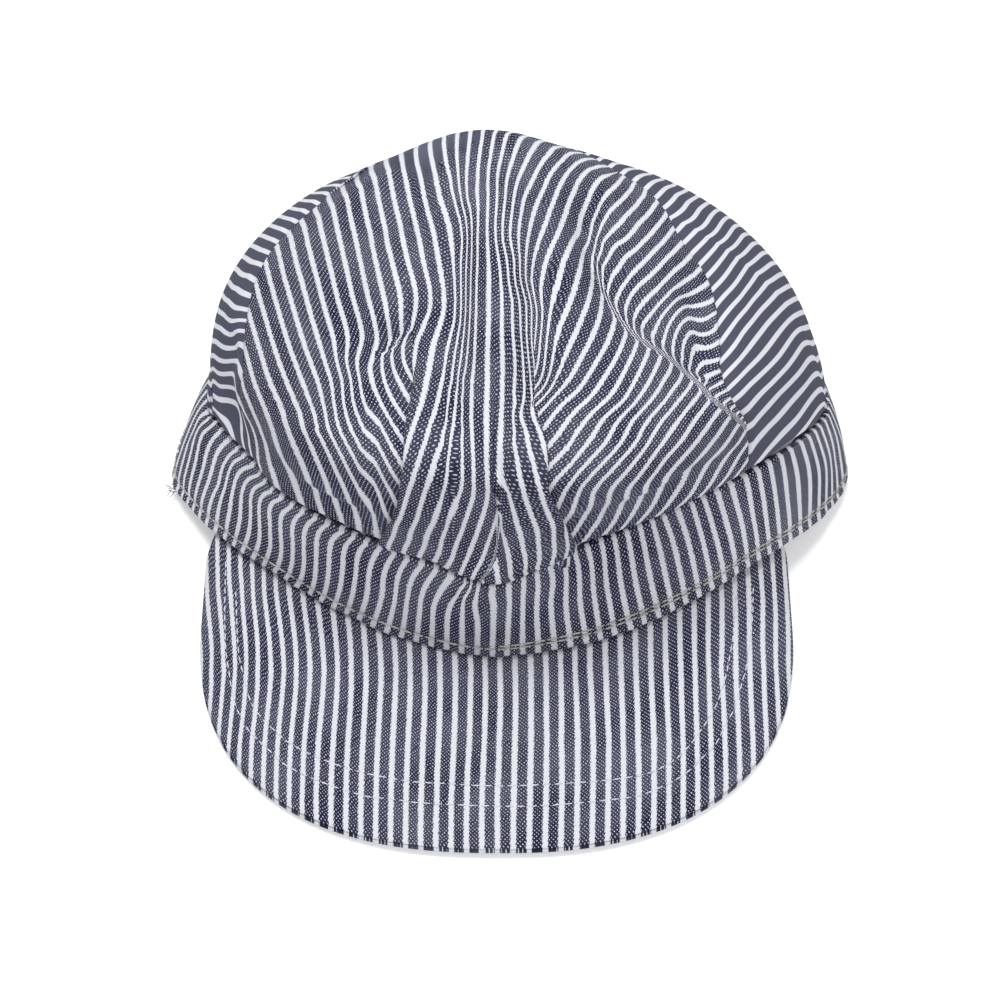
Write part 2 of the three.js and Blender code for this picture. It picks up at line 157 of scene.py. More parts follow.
# Control lines of the front piece as (turn, up), each from the hem to the seam behind the peak.
LEFT_SEAM = (
    (-46, 0), (-52, 0.08), (-60, 0.22), (-66, 0.35), (-74, 0.42), (-86, 0.48), (-97, 0.58), (-112, 0.7),
)
LEFT_PLEAT = (
    (-22, 0), (-20.5, 0.1), (-18, 0.24), (-18, 0.39), (-20, 0.52), (-26, 0.63), (-31, 0.68), (-58, 0.81),
    (-108, 0.84), (-150, 0.72),
)
RIGHT_PLEAT = (
    (10, 0), (9, 0.14), (6.5, 0.38), (8, 0.52), (10, 0.6), (12, 0.64), (22, 0.785), (90, 0.92),
    (155, 0.834), (170, 0.716),
)
RIGHT_SEAM = (
    (45, 0), (48, 0.13), (51, 0.31), (55, 0.44), (65, 0.51), (75, 0.565), (84, 0.64), (98, 0.68),
)
# Where the piece's control lines stand across it, from 0 to 1
ZONES_AT = (0, 0.264, 0.626, 1)

# A pleat cut across: place along the cloth in the flat, place when folded, and height, in millimetres.
# Less than nothing is the side cloth that runs under the middle panel's rolled edge.
PLEAT = np.array([
    (-9, -8, 0), (-6, -5, -0.1), (-4, -2.6, -0.3), (-2.6, -0.6, -0.6), (-1.4, 1.4, -0.8),
    (-0.6, 2.2, -0.4), (0, 1.2, 0.0), (0.6, -0.6, 0.1), (1.2, -1.9, 0.35), (1.8, -2.5, 0.9),
    (2.4, -2.3, 1.5), (3.1, -1.6, 1.95), (4, -0.4, 2.15), (5.4, 1.4, 2.15), (7.2, 3.8, 1.9),
    (9.5, 7, 1.5), (12.5, 11, 0.9), (16, 15.4, 0.4), (20, 20, 0),
])
# The place in PLEAT where the side cloth ends and the middle panel's begins
PLEAT_EDGE = 7

# Stripe charts, read off one by one. In a rows chart each row is a height in the picture, the number of the
# first white stripe, and the places of the stripes' middles from left to right. In a lines chart each stripe
# has its number and the points that it runs through.
ROWS_UPPER = (
    (140, -3, (444, 457, 469.5, 482, 493, 505, 520)),
    (160, -6, (402, 416, 432, 446, 457, 467.5, 479, 490, 500.5, 512.5, 527, 544, 563, 583)),
    (180, -8, (375, 390, 406, 421, 436, 451, 458.5, 466, 478, 488, 497, 507, 518, 533, 547.5, 563, 579)),
    (200, -8, (379, 394, 410, 425, 440, 455, 461.5, 466.5, 478, 488.5, 497, 505, 513.5, 523.5, 538.5, 554,
        570, 588)),
    (220, -5, (430, 447, 460.5)), (220, 0, (477.5, 488, 495.5, 503, 511, 520, 532, 547, 563, 580)),
    (240, -7, (403, 419.5, 435, 450, 463)),
    (240, 0, (476.5, 488.5, 496, 502.5, 510, 518.5, 528, 539, 555, 573, 590)),
    (260, -17, (251, 265, 280.5, 295.5, 312, 328.5, 344.5, 360.5, 375.5, 392, 407, 423, 438, 453.5)),
    (260, 0, (477, 489, 499, 507, 514.5, 520, 526, 533.5, 546.5, 564, 582)),
    (280, -8, (397, 413, 428, 441, 455)),
    (280, 0, (476, 489.5, 501.5, 508.5, 515, 520.5, 526, 531, 542, 559, 577, 593)),
    (300, -17, (260, 275.5, 291, 307, 322.5, 337.5, 353, 368, 384, 401, 416.5, 431.5, 443.5, 456)),
    (300, 0, (475.5, 489.5, 501.5, 512.5, 519, 526)),
)
LINES_UPPER = (
    (10, ((628, 169), (615, 187), (603, 200), (596, 215), (592, 232), (588, 243))),
    (11, ((641, 174), (628, 193), (607, 215), (600, 228), (596, 238), (594, 252))),
    (9, ((615, 163), (600, 179), (588, 200))),
)
ROWS_LEFT = (
    (380, -18, (269, 286, 301, 317, 332, 344, 352)),
    (400, -19, (261, 278.5, 294.4, 309, 322.5, 334, 343, 352)),
    (420, -20, (254, 269, 284, 301.5, 316.5, 325.6, 335.5, 347, 360)),
    (440, -20, (261, 275, 291, 308.5, 323.5, 333.7, 343.8, 357, 371.5)),
    (460, -20, (268, 284, 300.5, 316.5, 332, 343.5, 355, 369, 385.5)),
    (480, -20, (276, 293, 309, 325, 340.5, 353.5, 367.5, 383, 398)),
    (500, -20, (285, 301.5, 317.5, 333.5, 349.5, 365.5, 381)), (520, -18, (327, 342, 358, 374.5)),
)
ROWS_LEFT_ABOVE = (
    (340, -18, (257, 272, 287, 303, 318, 334, 349.5, 365.5, 380, 393)), (360, -11, (354, 368)),
)
ROWS_LEFT_BELOW = (
    (345, -8, (390.5, 402)), (360, -9, (381.5, 392, 404)), (380, -11, (361, 370, 383.5, 400)),
    (400, -11, (363, 377.5, 392.5, 410)), (420, -11, (374.5, 390, 406)), (440, -11, (387.5, 404)),
)
ROWS_LEFT_EDGE = (
    (260, -17, (251, 265, 280.5, 295.5, 312, 328.5)), (300, -17, (260, 275.5, 291, 307, 322.5, 337.5)),
    (340, -18, (257, 272, 287, 303, 318, 334, 349.5)),
)
ROWS_MIDDLE = (
    (320, -5, (440, 455)), (320, 0, (475, 489.5, 502, 512.5, 520.5, 528.5)), (340, -6, (417, 434, 450)),
    (340, 0, (474.5, 488.5, 502, 513.5, 522)), (360, -6, (413, 430, 446.5)),
    (360, 0, (474, 487.5, 502.5, 515.5, 524)),
    (380, -6, (412, 427, 442, 453, 458, 462, 472.5, 488, 502, 515, 525)),
    (400, -5, (422.5, 438, 450, 456, 461, 472, 487, 502, 516, 523)),
)
ROWS_TUCK_LEFT = (
    (420, -5, (416, 431.5, 447, 454.5, 461, 471.5, 486.5, 501.5)),
    (440, -5, (409, 426, 441.5, 452, 461.5, 472.5, 486.5, 501)),
    (460, -5, (403, 419, 435.5, 449.5, 462, 473.5, 486, 500.5)),
    (480, -4, (412.5, 430, 447, 462.5, 473.5, 487, 500)),
    (500, -4, (406, 422.5, 440, 456.5, 472.5, 487, 499.3)),
    (520, -3, (416.5, 433.5, 449.5, 465.5, 481.5, 496.4)), (540, -3, (409, 425.5, 442, 458, 474.5, 489.3)),
    (560, -2, (420, 435, 451.5, 466.4, 482)), (574, 0, (446, 460.5, 474)),
)
LINES_TUCK_RIGHT = (
    (4, ((520, 409), (522, 423.6), (527, 440), (531.5, 458), (538, 481), (544, 503.6), (549, 516.5),
        (553.6, 531), (554, 545), (552, 562))),
    (3, ((514, 428), (513.6, 440), (515, 452), (519.3, 475), (526.4, 500.7), (530.7, 513.6), (535, 523.6),
        (538, 535), (540, 552))),
    (2, ((507, 452), (506.4, 475), (508, 486), (512, 503.6), (516.4, 519), (520.7, 532), (524, 546),
        (525.7, 566))),
    (1, ((500.7, 523.6), (502, 531), (506.4, 545), (510, 556), (511.4, 573.6))),
    (0, ((495, 560), (497, 572))),
)
ROWS_RIGHT_LOW = (
    (300, 8, (538, 552.8, 570.6, 588.8, 602)), (320, 9, (545.3, 562.5, 581, 598.4, 615)),
    (340, 9, (538.8, 553.8, 572.5, 590.6, 608.5, 624)), (360, 10, (546.9, 563, 580, 597.5, 615, 630, 645)),
    (380, 10, (541.3, 551.3, 568.8, 585.3, 602.5, 620, 635.3, 650, 664, 680)),
    (400, 12, (548.9, 567, 587.5, 606, 623.8, 637, 651, 665.6, 679, 695, 710.6)),
    (420, 13, (549.4, 568, 586, 602.5, 618.8, 633, 648.5, 662.5, 679, 695, 712.5, 729)),
    (440, 14, (553.5, 572, 590, 607.5, 622.5, 637.5, 650, 665, 682, 698, 714, 729)),
    (460, 15, (555, 574.5, 590, 606, 621, 636, 650.6, 664.5, 681, 694)),
    (480, 16, (555.6, 572.5, 587.5, 602.5, 619, 636, 650, 665, 683.8, 698.8)),
    (500, 17, (561, 575.6, 592, 607.5, 623.8, 640, 655.6, 671, 686)),
    (520, 18, (566, 582.5, 598.8, 615, 628.8, 641)), (535, 19, (572.5, 588, 603.8)),
)
LINES_RIGHT_HIGH = (
    (12, ((645, 191), (632, 210), (620, 224), (610, 234), (601, 246), (598, 258))),
    (13, ((655, 205), (639, 223), (624, 241), (608, 259), (601, 270))),
    (14, ((664, 218), (650, 235), (627, 256), (617, 271), (608, 287), (606, 296))),
    (15, ((672, 230), (655, 250), (637, 269), (625, 284), (618, 296), (615, 305), (616, 311))),
    (16, ((681, 244), (669, 256), (654, 272), (640, 284), (630, 296), (625, 311), (626, 321))),
    (17, ((689, 257), (675, 270), (657, 289), (645, 301), (635, 315), (633, 325))),
    (18, ((694, 275), (680, 285), (666, 297), (654, 311), (643, 324), (641, 333))),
    (19, ((702, 287), (687, 295), (673, 303), (661, 317), (655, 330), (652, 343))),
    (20, ((710, 302), (700, 305), (687, 306), (677, 313), (668, 327), (663, 342), (662, 348))),
    (21, ((714, 314), (706, 319), (690, 318), (681, 324), (674, 338), (672, 351), (673, 358))),
    (22, ((717, 324), (715, 330), (707, 334), (699, 335), (694, 332), (686, 338), (682, 351), (681, 364))),
    (23, ((718, 342), (710, 347), (701, 349), (697, 345), (692, 352), (690, 363), (690, 373))),
    (24, ((718, 360), (710, 362), (702, 362.5), (699, 368), (699, 380))),
    (25, ((717, 372), (710, 376), (703, 376))), (26, ((714, 387), (707, 390))),
)
LINES_REAR_RIGHT = (
    (-9, ((654, 181), (646, 189))), (-8, ((665, 189), (653, 199))), (-7, ((676, 195), (660, 211))),
    (-6, ((689, 202), (668, 222))), (-5, ((699, 209), (675, 232))),
    (-4, ((711, 216), (697, 231), (681, 245))), (-3, ((722, 222), (707, 240), (689, 256))),
    (-2, ((732, 230), (712, 250), (695, 271))), (-1, ((742, 236), (725, 255), (702, 280))),
    (0, ((752, 244), (731, 265), (720, 284), (709, 293))),
    (1, ((761, 252), (738, 281), (726, 292), (715, 307))),
    (2, ((767, 265), (750, 285), (740, 299), (720, 322))),
    (3, ((772, 280), (752, 300), (735, 322), (721, 342))),
    (4, ((778, 292), (760, 311), (742, 332), (721, 361))),
    (5, ((785, 306), (765, 326), (750, 347), (740, 360), (718, 386))),
    (6, ((791, 319), (772, 342), (760, 357), (747, 369), (732, 384), (714, 399))),
    (7, ((796, 332), (780, 355), (765, 370), (750, 384), (728, 406))),
    (8, ((803, 344), (787, 367), (772, 384), (752, 405), (739, 417))),
    (9, ((811, 358), (800, 372), (780, 392), (760, 415), (749, 426))),
    (10, ((816, 375), (800, 392), (777, 419), (763, 433))), (11, ((820, 390), (800, 415), (781, 435))),
    (12, ((823, 405), (808, 424), (788, 443))),
)
LINES_REAR_LEFT = (
    (0, ((238, 270), (255, 280))), (1, ((232, 287), (245, 294), (256, 297))),
    (2, ((229, 302), (235, 308), (247, 312))), (3, ((226, 317), (232, 322), (248, 320))),
    (4, ((222, 328), (230, 335), (245, 330))), (5, ((220, 345), (227, 349), (242, 342))),
    (6, ((219, 360), (225, 362), (233, 361))), (7, ((215, 370), (223, 374), (232, 373))),
    (8, ((212, 382), (220, 387), (228, 387))), (9, ((210, 390), (217, 398), (225, 400))),
    (10, ((207, 402), (215, 413))),
)
# Rear piece's stripes behind: the number at the middle, how many lie across the disc's radius, and
# the number that the left chart, which counts the other way, counts down from.
REAR_MIDDLE_NUMBER = -20
REAR_STRIPES_ACROSS = 31
REAR_LEFT_NUMBER = -42

# Where the cloth right of the middle is folded in under itself, from the top down to the band, the same
# left of the middle, and the small tuck between them.
RIGHT_CREASE = (
    (597, 215), (594, 235), (594, 255), (597, 272), (602, 289), (610, 305), (620, 320), (630, 331),
    (640, 340), (650, 346), (660, 352), (670, 359), (680, 368), (693, 379), (700, 386), (712, 399),
    (722, 407), (730, 413), (740, 422), (752, 434),
)
LEFT_CREASE = (
    (432, 318), (425, 325), (410, 332), (398, 341), (388, 350), (380, 359), (374, 368), (371, 378),
)
TUCK = (
    (519, 396), (517, 410), (514, 428), (511, 440), (508, 450), (506, 460), (503.5, 475), (502, 490),
    (500.5, 505), (498.5, 516), (498, 530), (497, 545), (494, 558), (487, 572),
)

LINES_BAND = (
    (-5, ((205, 413.6), (198.6, 418.6), (193.6, 430), (184, 457), (178.6, 485.7))),
    (-4, ((205.7, 421.4), (200, 425.7), (191.4, 450), (184, 480))),
    (-3, ((211.4, 426), (203, 433), (196.4, 457), (190, 484))),
    (-2, ((216.4, 435), (208.6, 447), (203, 468.6), (196.4, 491))),
    (-1, ((226, 442), (217, 453), (210, 475.7), (202, 500))),
    (0, ((235.7, 450.7), (225.7, 461), (218.6, 484), (209, 508.6))),
    (1, ((241, 458), (234, 462), (228, 474), (221.4, 497), (217, 521))),
    (2, ((251.4, 466.4), (244, 468.6), (234, 485.7), (230, 508.6), (225.7, 534))),
    (3, ((257, 475.7), (248.6, 479), (241.4, 496), (238.6, 525.7), (235.7, 538.6))),
    (4, ((261.4, 484), (254, 488.6), (250.7, 508.6), (248.6, 534), (244, 547))),
    (5, ((270, 492), (263, 495), (259, 514), (258.6, 543), (250, 564))),
    (6, ((278.6, 500), (273, 502), (270, 521.4), (270, 547), (260, 573))),
    (7, ((291.4, 506.4), (283, 513), (280.7, 535.7), (277, 567), (271.4, 580))),
    (8, ((301.4, 513), (295.7, 518.6), (293, 543), (289, 574), (283, 585.7))),
    (9, ((315.7, 518.6), (309, 523), (303.6, 547), (301.4, 577), (294, 591.4))),
    (10, ((328.6, 524), (321.4, 528.6), (316.4, 548.6), (314, 583), (308.6, 597))),
    (11, ((345, 529), (336.7, 535), (329, 560), (326.7, 585), (319, 605))),
    (12, ((356, 535), (350, 540), (343, 562), (340, 588), (331.7, 611.7))),
    (13, ((368, 541), (361.7, 548), (356, 573), (350, 603), (345, 618))),
    (14, ((381, 546.7), (375, 555), (368, 580), (361.7, 613), (357.5, 625))),
    (15, ((395, 552.5), (389, 561.7), (382.5, 591.7), (371, 631.7))),
    (16, ((408, 558), (401.7, 568), (395, 600), (385, 638))),
    (17, ((421, 566), (413, 576.7), (406, 605), (399, 643))),
    (18, ((435, 571.7), (428, 581.7), (420, 610), (415, 647))),
    (19, ((450, 577.5), (443, 586.7), (433, 610), (429, 651.7))),
    (20, ((466, 583), (458, 595), (447.5, 618), (446, 653))),
    (21, ((471, 585), (464, 598), (462, 640), (461, 655))), (22, ((478, 587.5), (477.5, 623), (477, 655))),
    (23, ((493, 588), (494, 605), (492.5, 655))), (24, ((509, 583), (509.5, 600), (507, 652))),
    (25, ((524, 577), (523, 600), (523, 652))), (26, ((537, 571), (538, 586), (538, 649))),
    (27, ((550, 565), (553, 580), (551, 600), (554, 640))),
    (28, ((564, 558), (566, 572), (566, 600), (570, 640))),
    (29, ((575, 552), (578, 565), (580, 600), (586, 638))),
    (30, ((587, 546), (591, 560), (595, 602), (600, 634))), (31, ((602, 544), (606, 580), (614, 630))),
    (32, ((614, 536), (621, 584), (631, 628))), (33, ((627, 529), (636, 584), (645, 624))),
    (34, ((639, 523), (648, 566), (659, 616))), (35, ((652, 519), (663, 564), (674, 617))),
    (36, ((664, 516), (673, 541), (688, 612))), (37, ((678.6, 512), (688, 541), (701, 606))),
    (38, ((693, 506), (701.4, 535), (714, 599))), (39, ((704, 499), (714, 531), (727, 593))),
    (40, ((718.6, 495), (728, 528), (739, 586))), (41, ((733, 491), (742, 523.6), (752, 580))),
    (42, ((748, 486), (753, 516), (763, 570))), (43, ((760, 478.6), (765, 509), (774, 564))),
    (44, ((771.4, 470.7), (776.4, 502), (787, 557))), (45, ((783, 463.6), (787, 495), (795, 548))),
    (46, ((793, 456.4), (798.6, 488), (802, 541))), (47, ((804, 450), (808, 464), (811, 534))),
    (48, ((811.4, 442), (815.7, 456), (820, 523.6))), (49, ((817, 435), (826.4, 469), (828, 516))),
    (50, ((821.4, 428.6), (830.7, 459), (832, 495))), (51, ((825.7, 421.4), (835, 459), (837, 492))),
)
ROWS_VISOR = (
    (590, 1, (207, 218, 230, 242, 253, 264, 276)), (600, 37, (722, 735, 749, 763, 775)),
    (670, 0, (201, 211, 224, 235, 246, 257.5, 271, 284, 296, 310, 324, 337.5, 351, 366, 381, 396, 410, 425,
        440, 455, 471, 485, 500, 515, 531, 546, 561, 575, 590, 606, 621, 636, 651, 666, 681, 695, 709, 721,
        736, 750, 764, 776)),
    (740, 3, (229, 240, 252, 265, 278, 291, 304.5, 318.5, 333.5, 348, 363, 378, 393, 408, 423, 439, 454,
        469.5, 484.5, 499, 515, 531, 547, 561, 578, 593, 609, 623, 638, 654, 669, 683, 697, 711, 725, 739,
        753)),
    (800, 8, (289, 302, 316, 331, 346, 361, 376, 391, 406, 421, 437, 451, 467, 482, 497, 514, 530, 546, 562,
        577, 593, 608, 623, 639, 654, 669, 683, 698, 712)),
)
# Topstitching: heights of the band's rows in millimetres above its lower edge with the turns that each
# runs between, and the visor's rows as places in the picture.
BAND_SEAMS = ((4.2, -180, 180), (5.6, -2, 84))
VISOR_SEAMS = (
    ((226, 560), (225, 610), (226, 650), (228, 665), (235, 703), (247, 728), (258, 740), (272, 753),
        (287, 766), (321, 782), (364, 796), (390, 799), (420, 803), (486, 806), (540, 806), (600, 801),
        (638, 796), (657, 789), (674, 781), (690, 770), (701, 759), (715, 745), (726, 724), (734, 709),
        (741, 686), (747, 663), (752, 620), (753, 590)),
    ((236, 590), (237, 625), (239, 654), (243, 673), (251, 702), (264, 721), (274, 730), (289, 743),
        (321, 759), (356, 771), (383, 777), (415, 782), (450, 784), (486, 786), (540, 785), (600, 781),
        (638, 776), (657, 770), (676, 759), (690, 745), (701, 730), (711, 715), (718, 701), (726, 675),
        (730, 654), (733, 636), (736, 600)),
)
# Frayed yarn: place in the picture, number of ends and their greatest length in millimetres
LOOSE_ENDS = (((174, 488), 12, 3.6), ((830, 412), 3, 1.8))

# A chart's point is left out where the surface faces the camera less than this (1 is squarely), and
# where the nearest place of the surface is seen more pixels away than CHART_MISS.
LEAST_FACING = 0.3
REAR_LEFT_FACING = 0.1
CHART_MISS = 6
PICTURE_MIDDLE = 500

# The front piece's sheets of cloth from left to right, which its pleats part: how freely the stripes
# may leave their charts, 1 or -1 for the side that the crease's raised cloth is on, the crease, and the
# charts on its lower and on its raised side.
FRONT_SHEETS = (
    (2e-3, -1, LEFT_CREASE, (ROWS_LEFT_EDGE + ROWS_LEFT + ROWS_LEFT_BELOW, ()),
     (ROWS_UPPER + ROWS_LEFT + ROWS_LEFT_ABOVE + ROWS_LEFT_BELOW[2:], LINES_UPPER)),
    (2e-4, 1, TUCK, (ROWS_UPPER + ROWS_MIDDLE + ROWS_TUCK_LEFT, LINES_UPPER),
     (ROWS_UPPER + ROWS_MIDDLE, LINES_UPPER + LINES_TUCK_RIGHT)),
    (1e-4, 1, RIGHT_CREASE, (ROWS_UPPER + ROWS_RIGHT_LOW, LINES_UPPER),
     (ROWS_UPPER, LINES_UPPER + LINES_RIGHT_HIGH)),
)

# Rounding of the peak, and steps for slopes, on the crown's disc
PEAK_ROUNDING = 0.07
PEAK_REACH = 0.2
PEAK_SAMPLES = 8
DISC_STEP = 0.006

# Folds: points along one, and the share of its length over which it fades at each end. Creases: their
# reach and ends on the disc, and their two sides' heights in millimetres. Wrinkles in millimetres.
FOLD_POINTS = 14
FOLD_END = 0.22
KEEN_ROUNDING = 0.02
KEEN_FALL = 1.6
CREASE_REACH = 0.045
CREASE_ENDS = (0.09, 0.03)
CREASE_STEP = 0.006
CREASE_HEIGHTS = (-0.4, 0.8)
STRIPE_STEP = 0.004
WRINKLE = 0.3
FINE_WRINKLE = 0.1
FINE_CELL = 6

# A pair that ends in WRINKLES, WAVES or PUCKERS holds the grid steps between bumps and a seed. Other
# pairs of places, such as FOLDS_BEGIN, are where something starts and ends setting in or fading.

# Crown: where along "up" its hem swells out over the band and its folds begin, and where the hem
# swells more, as turn in degrees, half width in degrees and how much more.
HEM_SWELL_BEGINS = (0.036, 0.057)
HEM_SWELL_ENDS = (0.2, 0.08)
FOLDS_BEGIN = (0.03, 0.13)
HEM_FULLER = ((32, 17, 1.0), (-3, 11, 0.8), (-58, 22, 0.7))

# Front piece: its columns before, between and after the pleats, the span in millimetres that they are
# laid out on, the reach of a pleat on its two sides, and where along "up" the pleats end.
FRONT_ROWS = 170
FRONT_COLUMNS = (42, 34, 66)
FRONT_SPAN = 170
PLEAT_OUTER = 9.5
PLEAT_INNER = 21
PLEAT_FOOT = 15
PLEAT_MARGIN = 3
PLEAT_FADE = (0.66, 0.5)
UNPLEATED_FROM = 0.58
LEFT_PLEAT_ENDS = (0.6, 0.68)
RIGHT_PLEAT_ENDS = (0.58, 0.66)
SHEET_MIX = 0.05
FRONT_WRINKLES = (14, 3)
FRONT_WRINKLES_BEGIN = (0.05, 0.2)

# Rear piece: its grid, how far it laps under the front piece, and places behind with even stripes
REAR_ROWS = 100
REAR_COLUMNS = 280
REAR_TURNS = (45, 314)
REAR_LAP = 1.03
REAR_UNDER = 1.1
REAR_UNDER_BEGINS = (0.93, 1)
REAR_WRINKLES = (16, 8)
REAR_WRINKLES_BEGIN = (0.04, 0.2)
REAR_GIVE = 2e-3
BEHIND_TURNS = (130, 150, 170, 190, 210, 230)
BEHIND_AWAY = (0.98, 0.7)
SEAM_SIDE_POINTS = 90
SEAM_TOP_POINTS = 60

# Band: its grid, the flat part as shares of its width, and heights of its relief in millimetres. Past
# its chart even stripes are held at these gaps and heights, in units of the plane that they lie in.
BAND_COLUMNS = 760
BAND_OUTER_ROWS = 28
BAND_INNER_ROWS = 8
BAND_ROLL_ROWS = 5
BAND_FLAT = (0.03, 0.97)
BAND_ROLL = 0.035
BAND_CROWDING = 0.3
BAND_WAVES = (12, 21)
BAND_WAVE = 0.25
BAND_PUCKERS = (4, 22)
BAND_PUCKER = 0.3
BAND_FOOT = (0.3, 0.02)
BAND_STITCH_AT = 0.12
BAND_STITCH_REACH = 0.035
BAND_STITCH_DEPTH = 0.35
BAND_END_COLUMNS = 40
BEYOND_GAPS = (0.12, 0.25, 0.5, 0.9)
BEYOND_HEIGHTS = (0.02, 0.16, 0.3)

# Visor: its grid, and its cloth's thickness, waves and rolled edge in millimetres. Each of its cloths is
# a piece, its node, its depth, the waves' seed, shares of the roll and of the waves, and the lowest height.
VISOR_ROWS = 96
VISOR_COLUMNS = 230
VISOR_CROWDING = 1.25
VISOR_WALL = 1.2
VISOR_WAVE = 0.35
VISOR_WAVE_CELL = 18
VISOR_WAVES_BEGIN = (0, 0.2)
VISOR_FINE_WAVES = (5, 33)
VISOR_FINE_WAVE = 0.1
VISOR_FINE_REACH = 8
VISOR_FALL = (-0.6, 1.25)
VISOR_ROLL_REACH = 0.9
VISOR_CLOTHS = (
    ("visor_top_cloth", "visor_top", 0, 32, -1, 1, 1.4),
    ("visor_under_cloth", "visor_under", 2.1, 30, 0.4, 0.5, 1.25),
)
# Gap between the cloth and the floor
FLOOR_GAP = 0.05

# Stitches: their spacing as a share of their length, how far they stand out, and the points of a row
BAND_STITCH_PITCH = 1.06
BAND_STITCH_PROUD = 0.05
BAND_SEAM_POINTS = 900
VISOR_STITCH_PITCH = 1.25
VISOR_STITCH_PROUD = 0.12
VISOR_SEAM_POINTS = 500
VISOR_THREAD_SHARE = 0.7
STITCH_UNEVENNESS = 0.06
BAND_SEED = 5
VISOR_SEED = 9

# Loose yarn: rings along it, corners of a ring, half its thickness in millimetres, how far its ways and
# bends spread, how far its roots scatter, and how deep in the cloth they begin.
LOOSE_RINGS = 8
LOOSE_CORNERS = ((1, 0), (0, 1), (-1, 0), (0, -1))
LOOSE_GIRTH = 0.16
LOOSE_SPREAD = 0.55
LOOSE_BEND = 0.5
LOOSE_SCATTER = 0.8
LOOSE_ROOT = 0.6
LOOSE_SEED = 17

# Each cloth's look: how far its blue is lightened in broad patches, by use and on the rear piece partly as
# painted light, how coarse its yarn is drawn, and the share of its white stripes' width
CLOTH_LOOKS = {
    "Crown cloth": (0.08, 1.2, 0.86),
    # The rear piece's blue is lightened more than the others': partly from use, partly as painted light that
    # stands in for the brighter light falling on the rear.
    "Rear crown cloth": (0.2, 1.55, 0.95),
    "Band cloth": (0.08, 1.2, 1.0),
    "Visor cloth": (0.08, 1.05, 1.0),
}
CLOTH_GLOSS = 0.08
YARN_RELIEF = 0.3
YARN_RELIEF_SHARE = 0.5

# Twill: scales of its noises and lengths in millimetres, the others in shares
WAVER_SCALE = 0.35
WAVER = 1.2
SOFT_SCALE = 0.9
BROAD_SCALE = 0.05
TOOTH = 0.15
EDGE_NOISE = 0.55
EDGE_SOFTNESS = 0.03
FLECK_EDGE = (0.52, 0.2)
FLECK_SQUEEZE = 0.8
FLECK_STRETCH = 1.05
LEAST_FLECK = 0.55
WHITE_SHADE = 0.16
WHITE_SHADE_EDGE = (0.3, 0.8)
WORN_AND_LIT_PATCHES = (0.3, 0.7)
YARN_ROUND = 0.6
YARN_EDGE = (0.75, 0)
YARN_FUZZ = 0.4
CLOTH_ROUGHNESS = (0.82, 0.97)
ROUGH_PATCHES = (0.2, 0.8)

# Sewing thread
PLY_SCALE = 2600
PLY_SHADE = 0.62
PLY_EDGE = (0.35, 0.65)
THREAD_ROUGHNESS = 0.8

# Stage, in metres: lights are name, place, size and share of the key light's power
LIGHTS = (("key", (-0.12, 0.1, 1.25), 0.6, 1), ("fill", (0.4, -1.0, 0.9), 1.2, 0.46))
LIGHTS_AIM = (0, 0.03, 0.05)
ROOM_LIGHT = 0.54
FLOOR_GLOW = 0.3
FLOOR_DROP = 0.0003
SENSOR_WIDTH = 36

# Millimetres to the unit of the plane that the band's and visor's stripes are fitted in
PLANE_UNIT = 100
# Places whose stripe numbers are worked out together
PLACES_AT_ONCE = 4000


def smooth(low, high, x):
    """Rises softly from 0 at low to 1 at high, which may be the smaller of the two."""
    s = np.clip((x - low) / (high - low), 0, 1)
    return s * s * (3 - 2 * s)


def blend_of(a, b, share):
    return a + (b - a) * share


def curve_through(table, x):
    """Values at x of a smooth curve through a table's (key, value) rows."""
    keys, values = np.asarray(table, float).T
    slopes = np.empty(len(keys))
    slopes[1:-1] = (values[2:] - values[:-2]) / (keys[2:] - keys[:-2])
    slopes[0] = (values[1] - values[0]) / (keys[1] - keys[0])
    slopes[-1] = (values[-1] - values[-2]) / (keys[-1] - keys[-2])
    k = np.clip(np.searchsorted(keys, x) - 1, 0, len(keys) - 2)
    span = keys[k + 1] - keys[k]
    s = np.clip((x - keys[k]) / span, 0, 1)
    s2, s3 = s * s, s * s * s
    held = values[k] * (2 * s3 - 3 * s2 + 1) + values[k + 1] * (3 * s2 - 2 * s3)
    return held + span * (slopes[k] * (s3 - 2 * s2 + s) + slopes[k + 1] * (s3 - s2))


def points_of(*parts):
    return np.stack(np.broadcast_arrays(*parts), axis=-1).astype(float)


def unit(vectors):
    return vectors / np.maximum(np.linalg.norm(vectors, axis=-1, keepdims=True), 1e-9)


def round_the_head(column, turn):
    """A column of BAND_ROUND at turns in radians."""
    degrees = np.degrees(turn)
    degrees = degrees - 360 * np.round(degrees / 360)
    return curve_through(BAND_ROUND[:, (0, column)], degrees)


def opening_plan(turn):
    """Outline of the head opening seen from above, a little pointed in front."""
    ahead = np.cos(turn)
    reach = np.where(ahead > 0, ahead * (1 - FRONT_POINT * (1 - ahead)), ahead)
    return np.stack([HEAD_HALF_WIDTH * np.sin(turn), -HEAD_HALF_DEPTH * reach], axis=-1)


def opening_outward(turn):
    step = unit(opening_plan(turn + 0.01) - opening_plan(turn - 0.01))
    return np.stack([step[..., 1], -step[..., 0]], axis=-1)


def band_point(turn, share, depth):
    """Place on the band: share 0 is its lower edge and 1 its upper edge, depth is measured inwards."""
    turn, share, depth = np.broadcast_arrays(turn, share, depth)
    lift = BAND_LIFT * np.maximum(0, round_the_head(1, turn))
    lean = round_the_head(2, turn) * BAND_WIDTH
    height = np.sqrt(BAND_WIDTH**2 - lean**2)
    inset = lean * share - BAND_SWELL * np.sin(np.pi * np.clip(share, 0, 1)) + depth
    plan = opening_plan(turn) - opening_outward(turn) * inset[..., None]
    return points_of(plan[..., 0], plan[..., 1], lift + height * share)


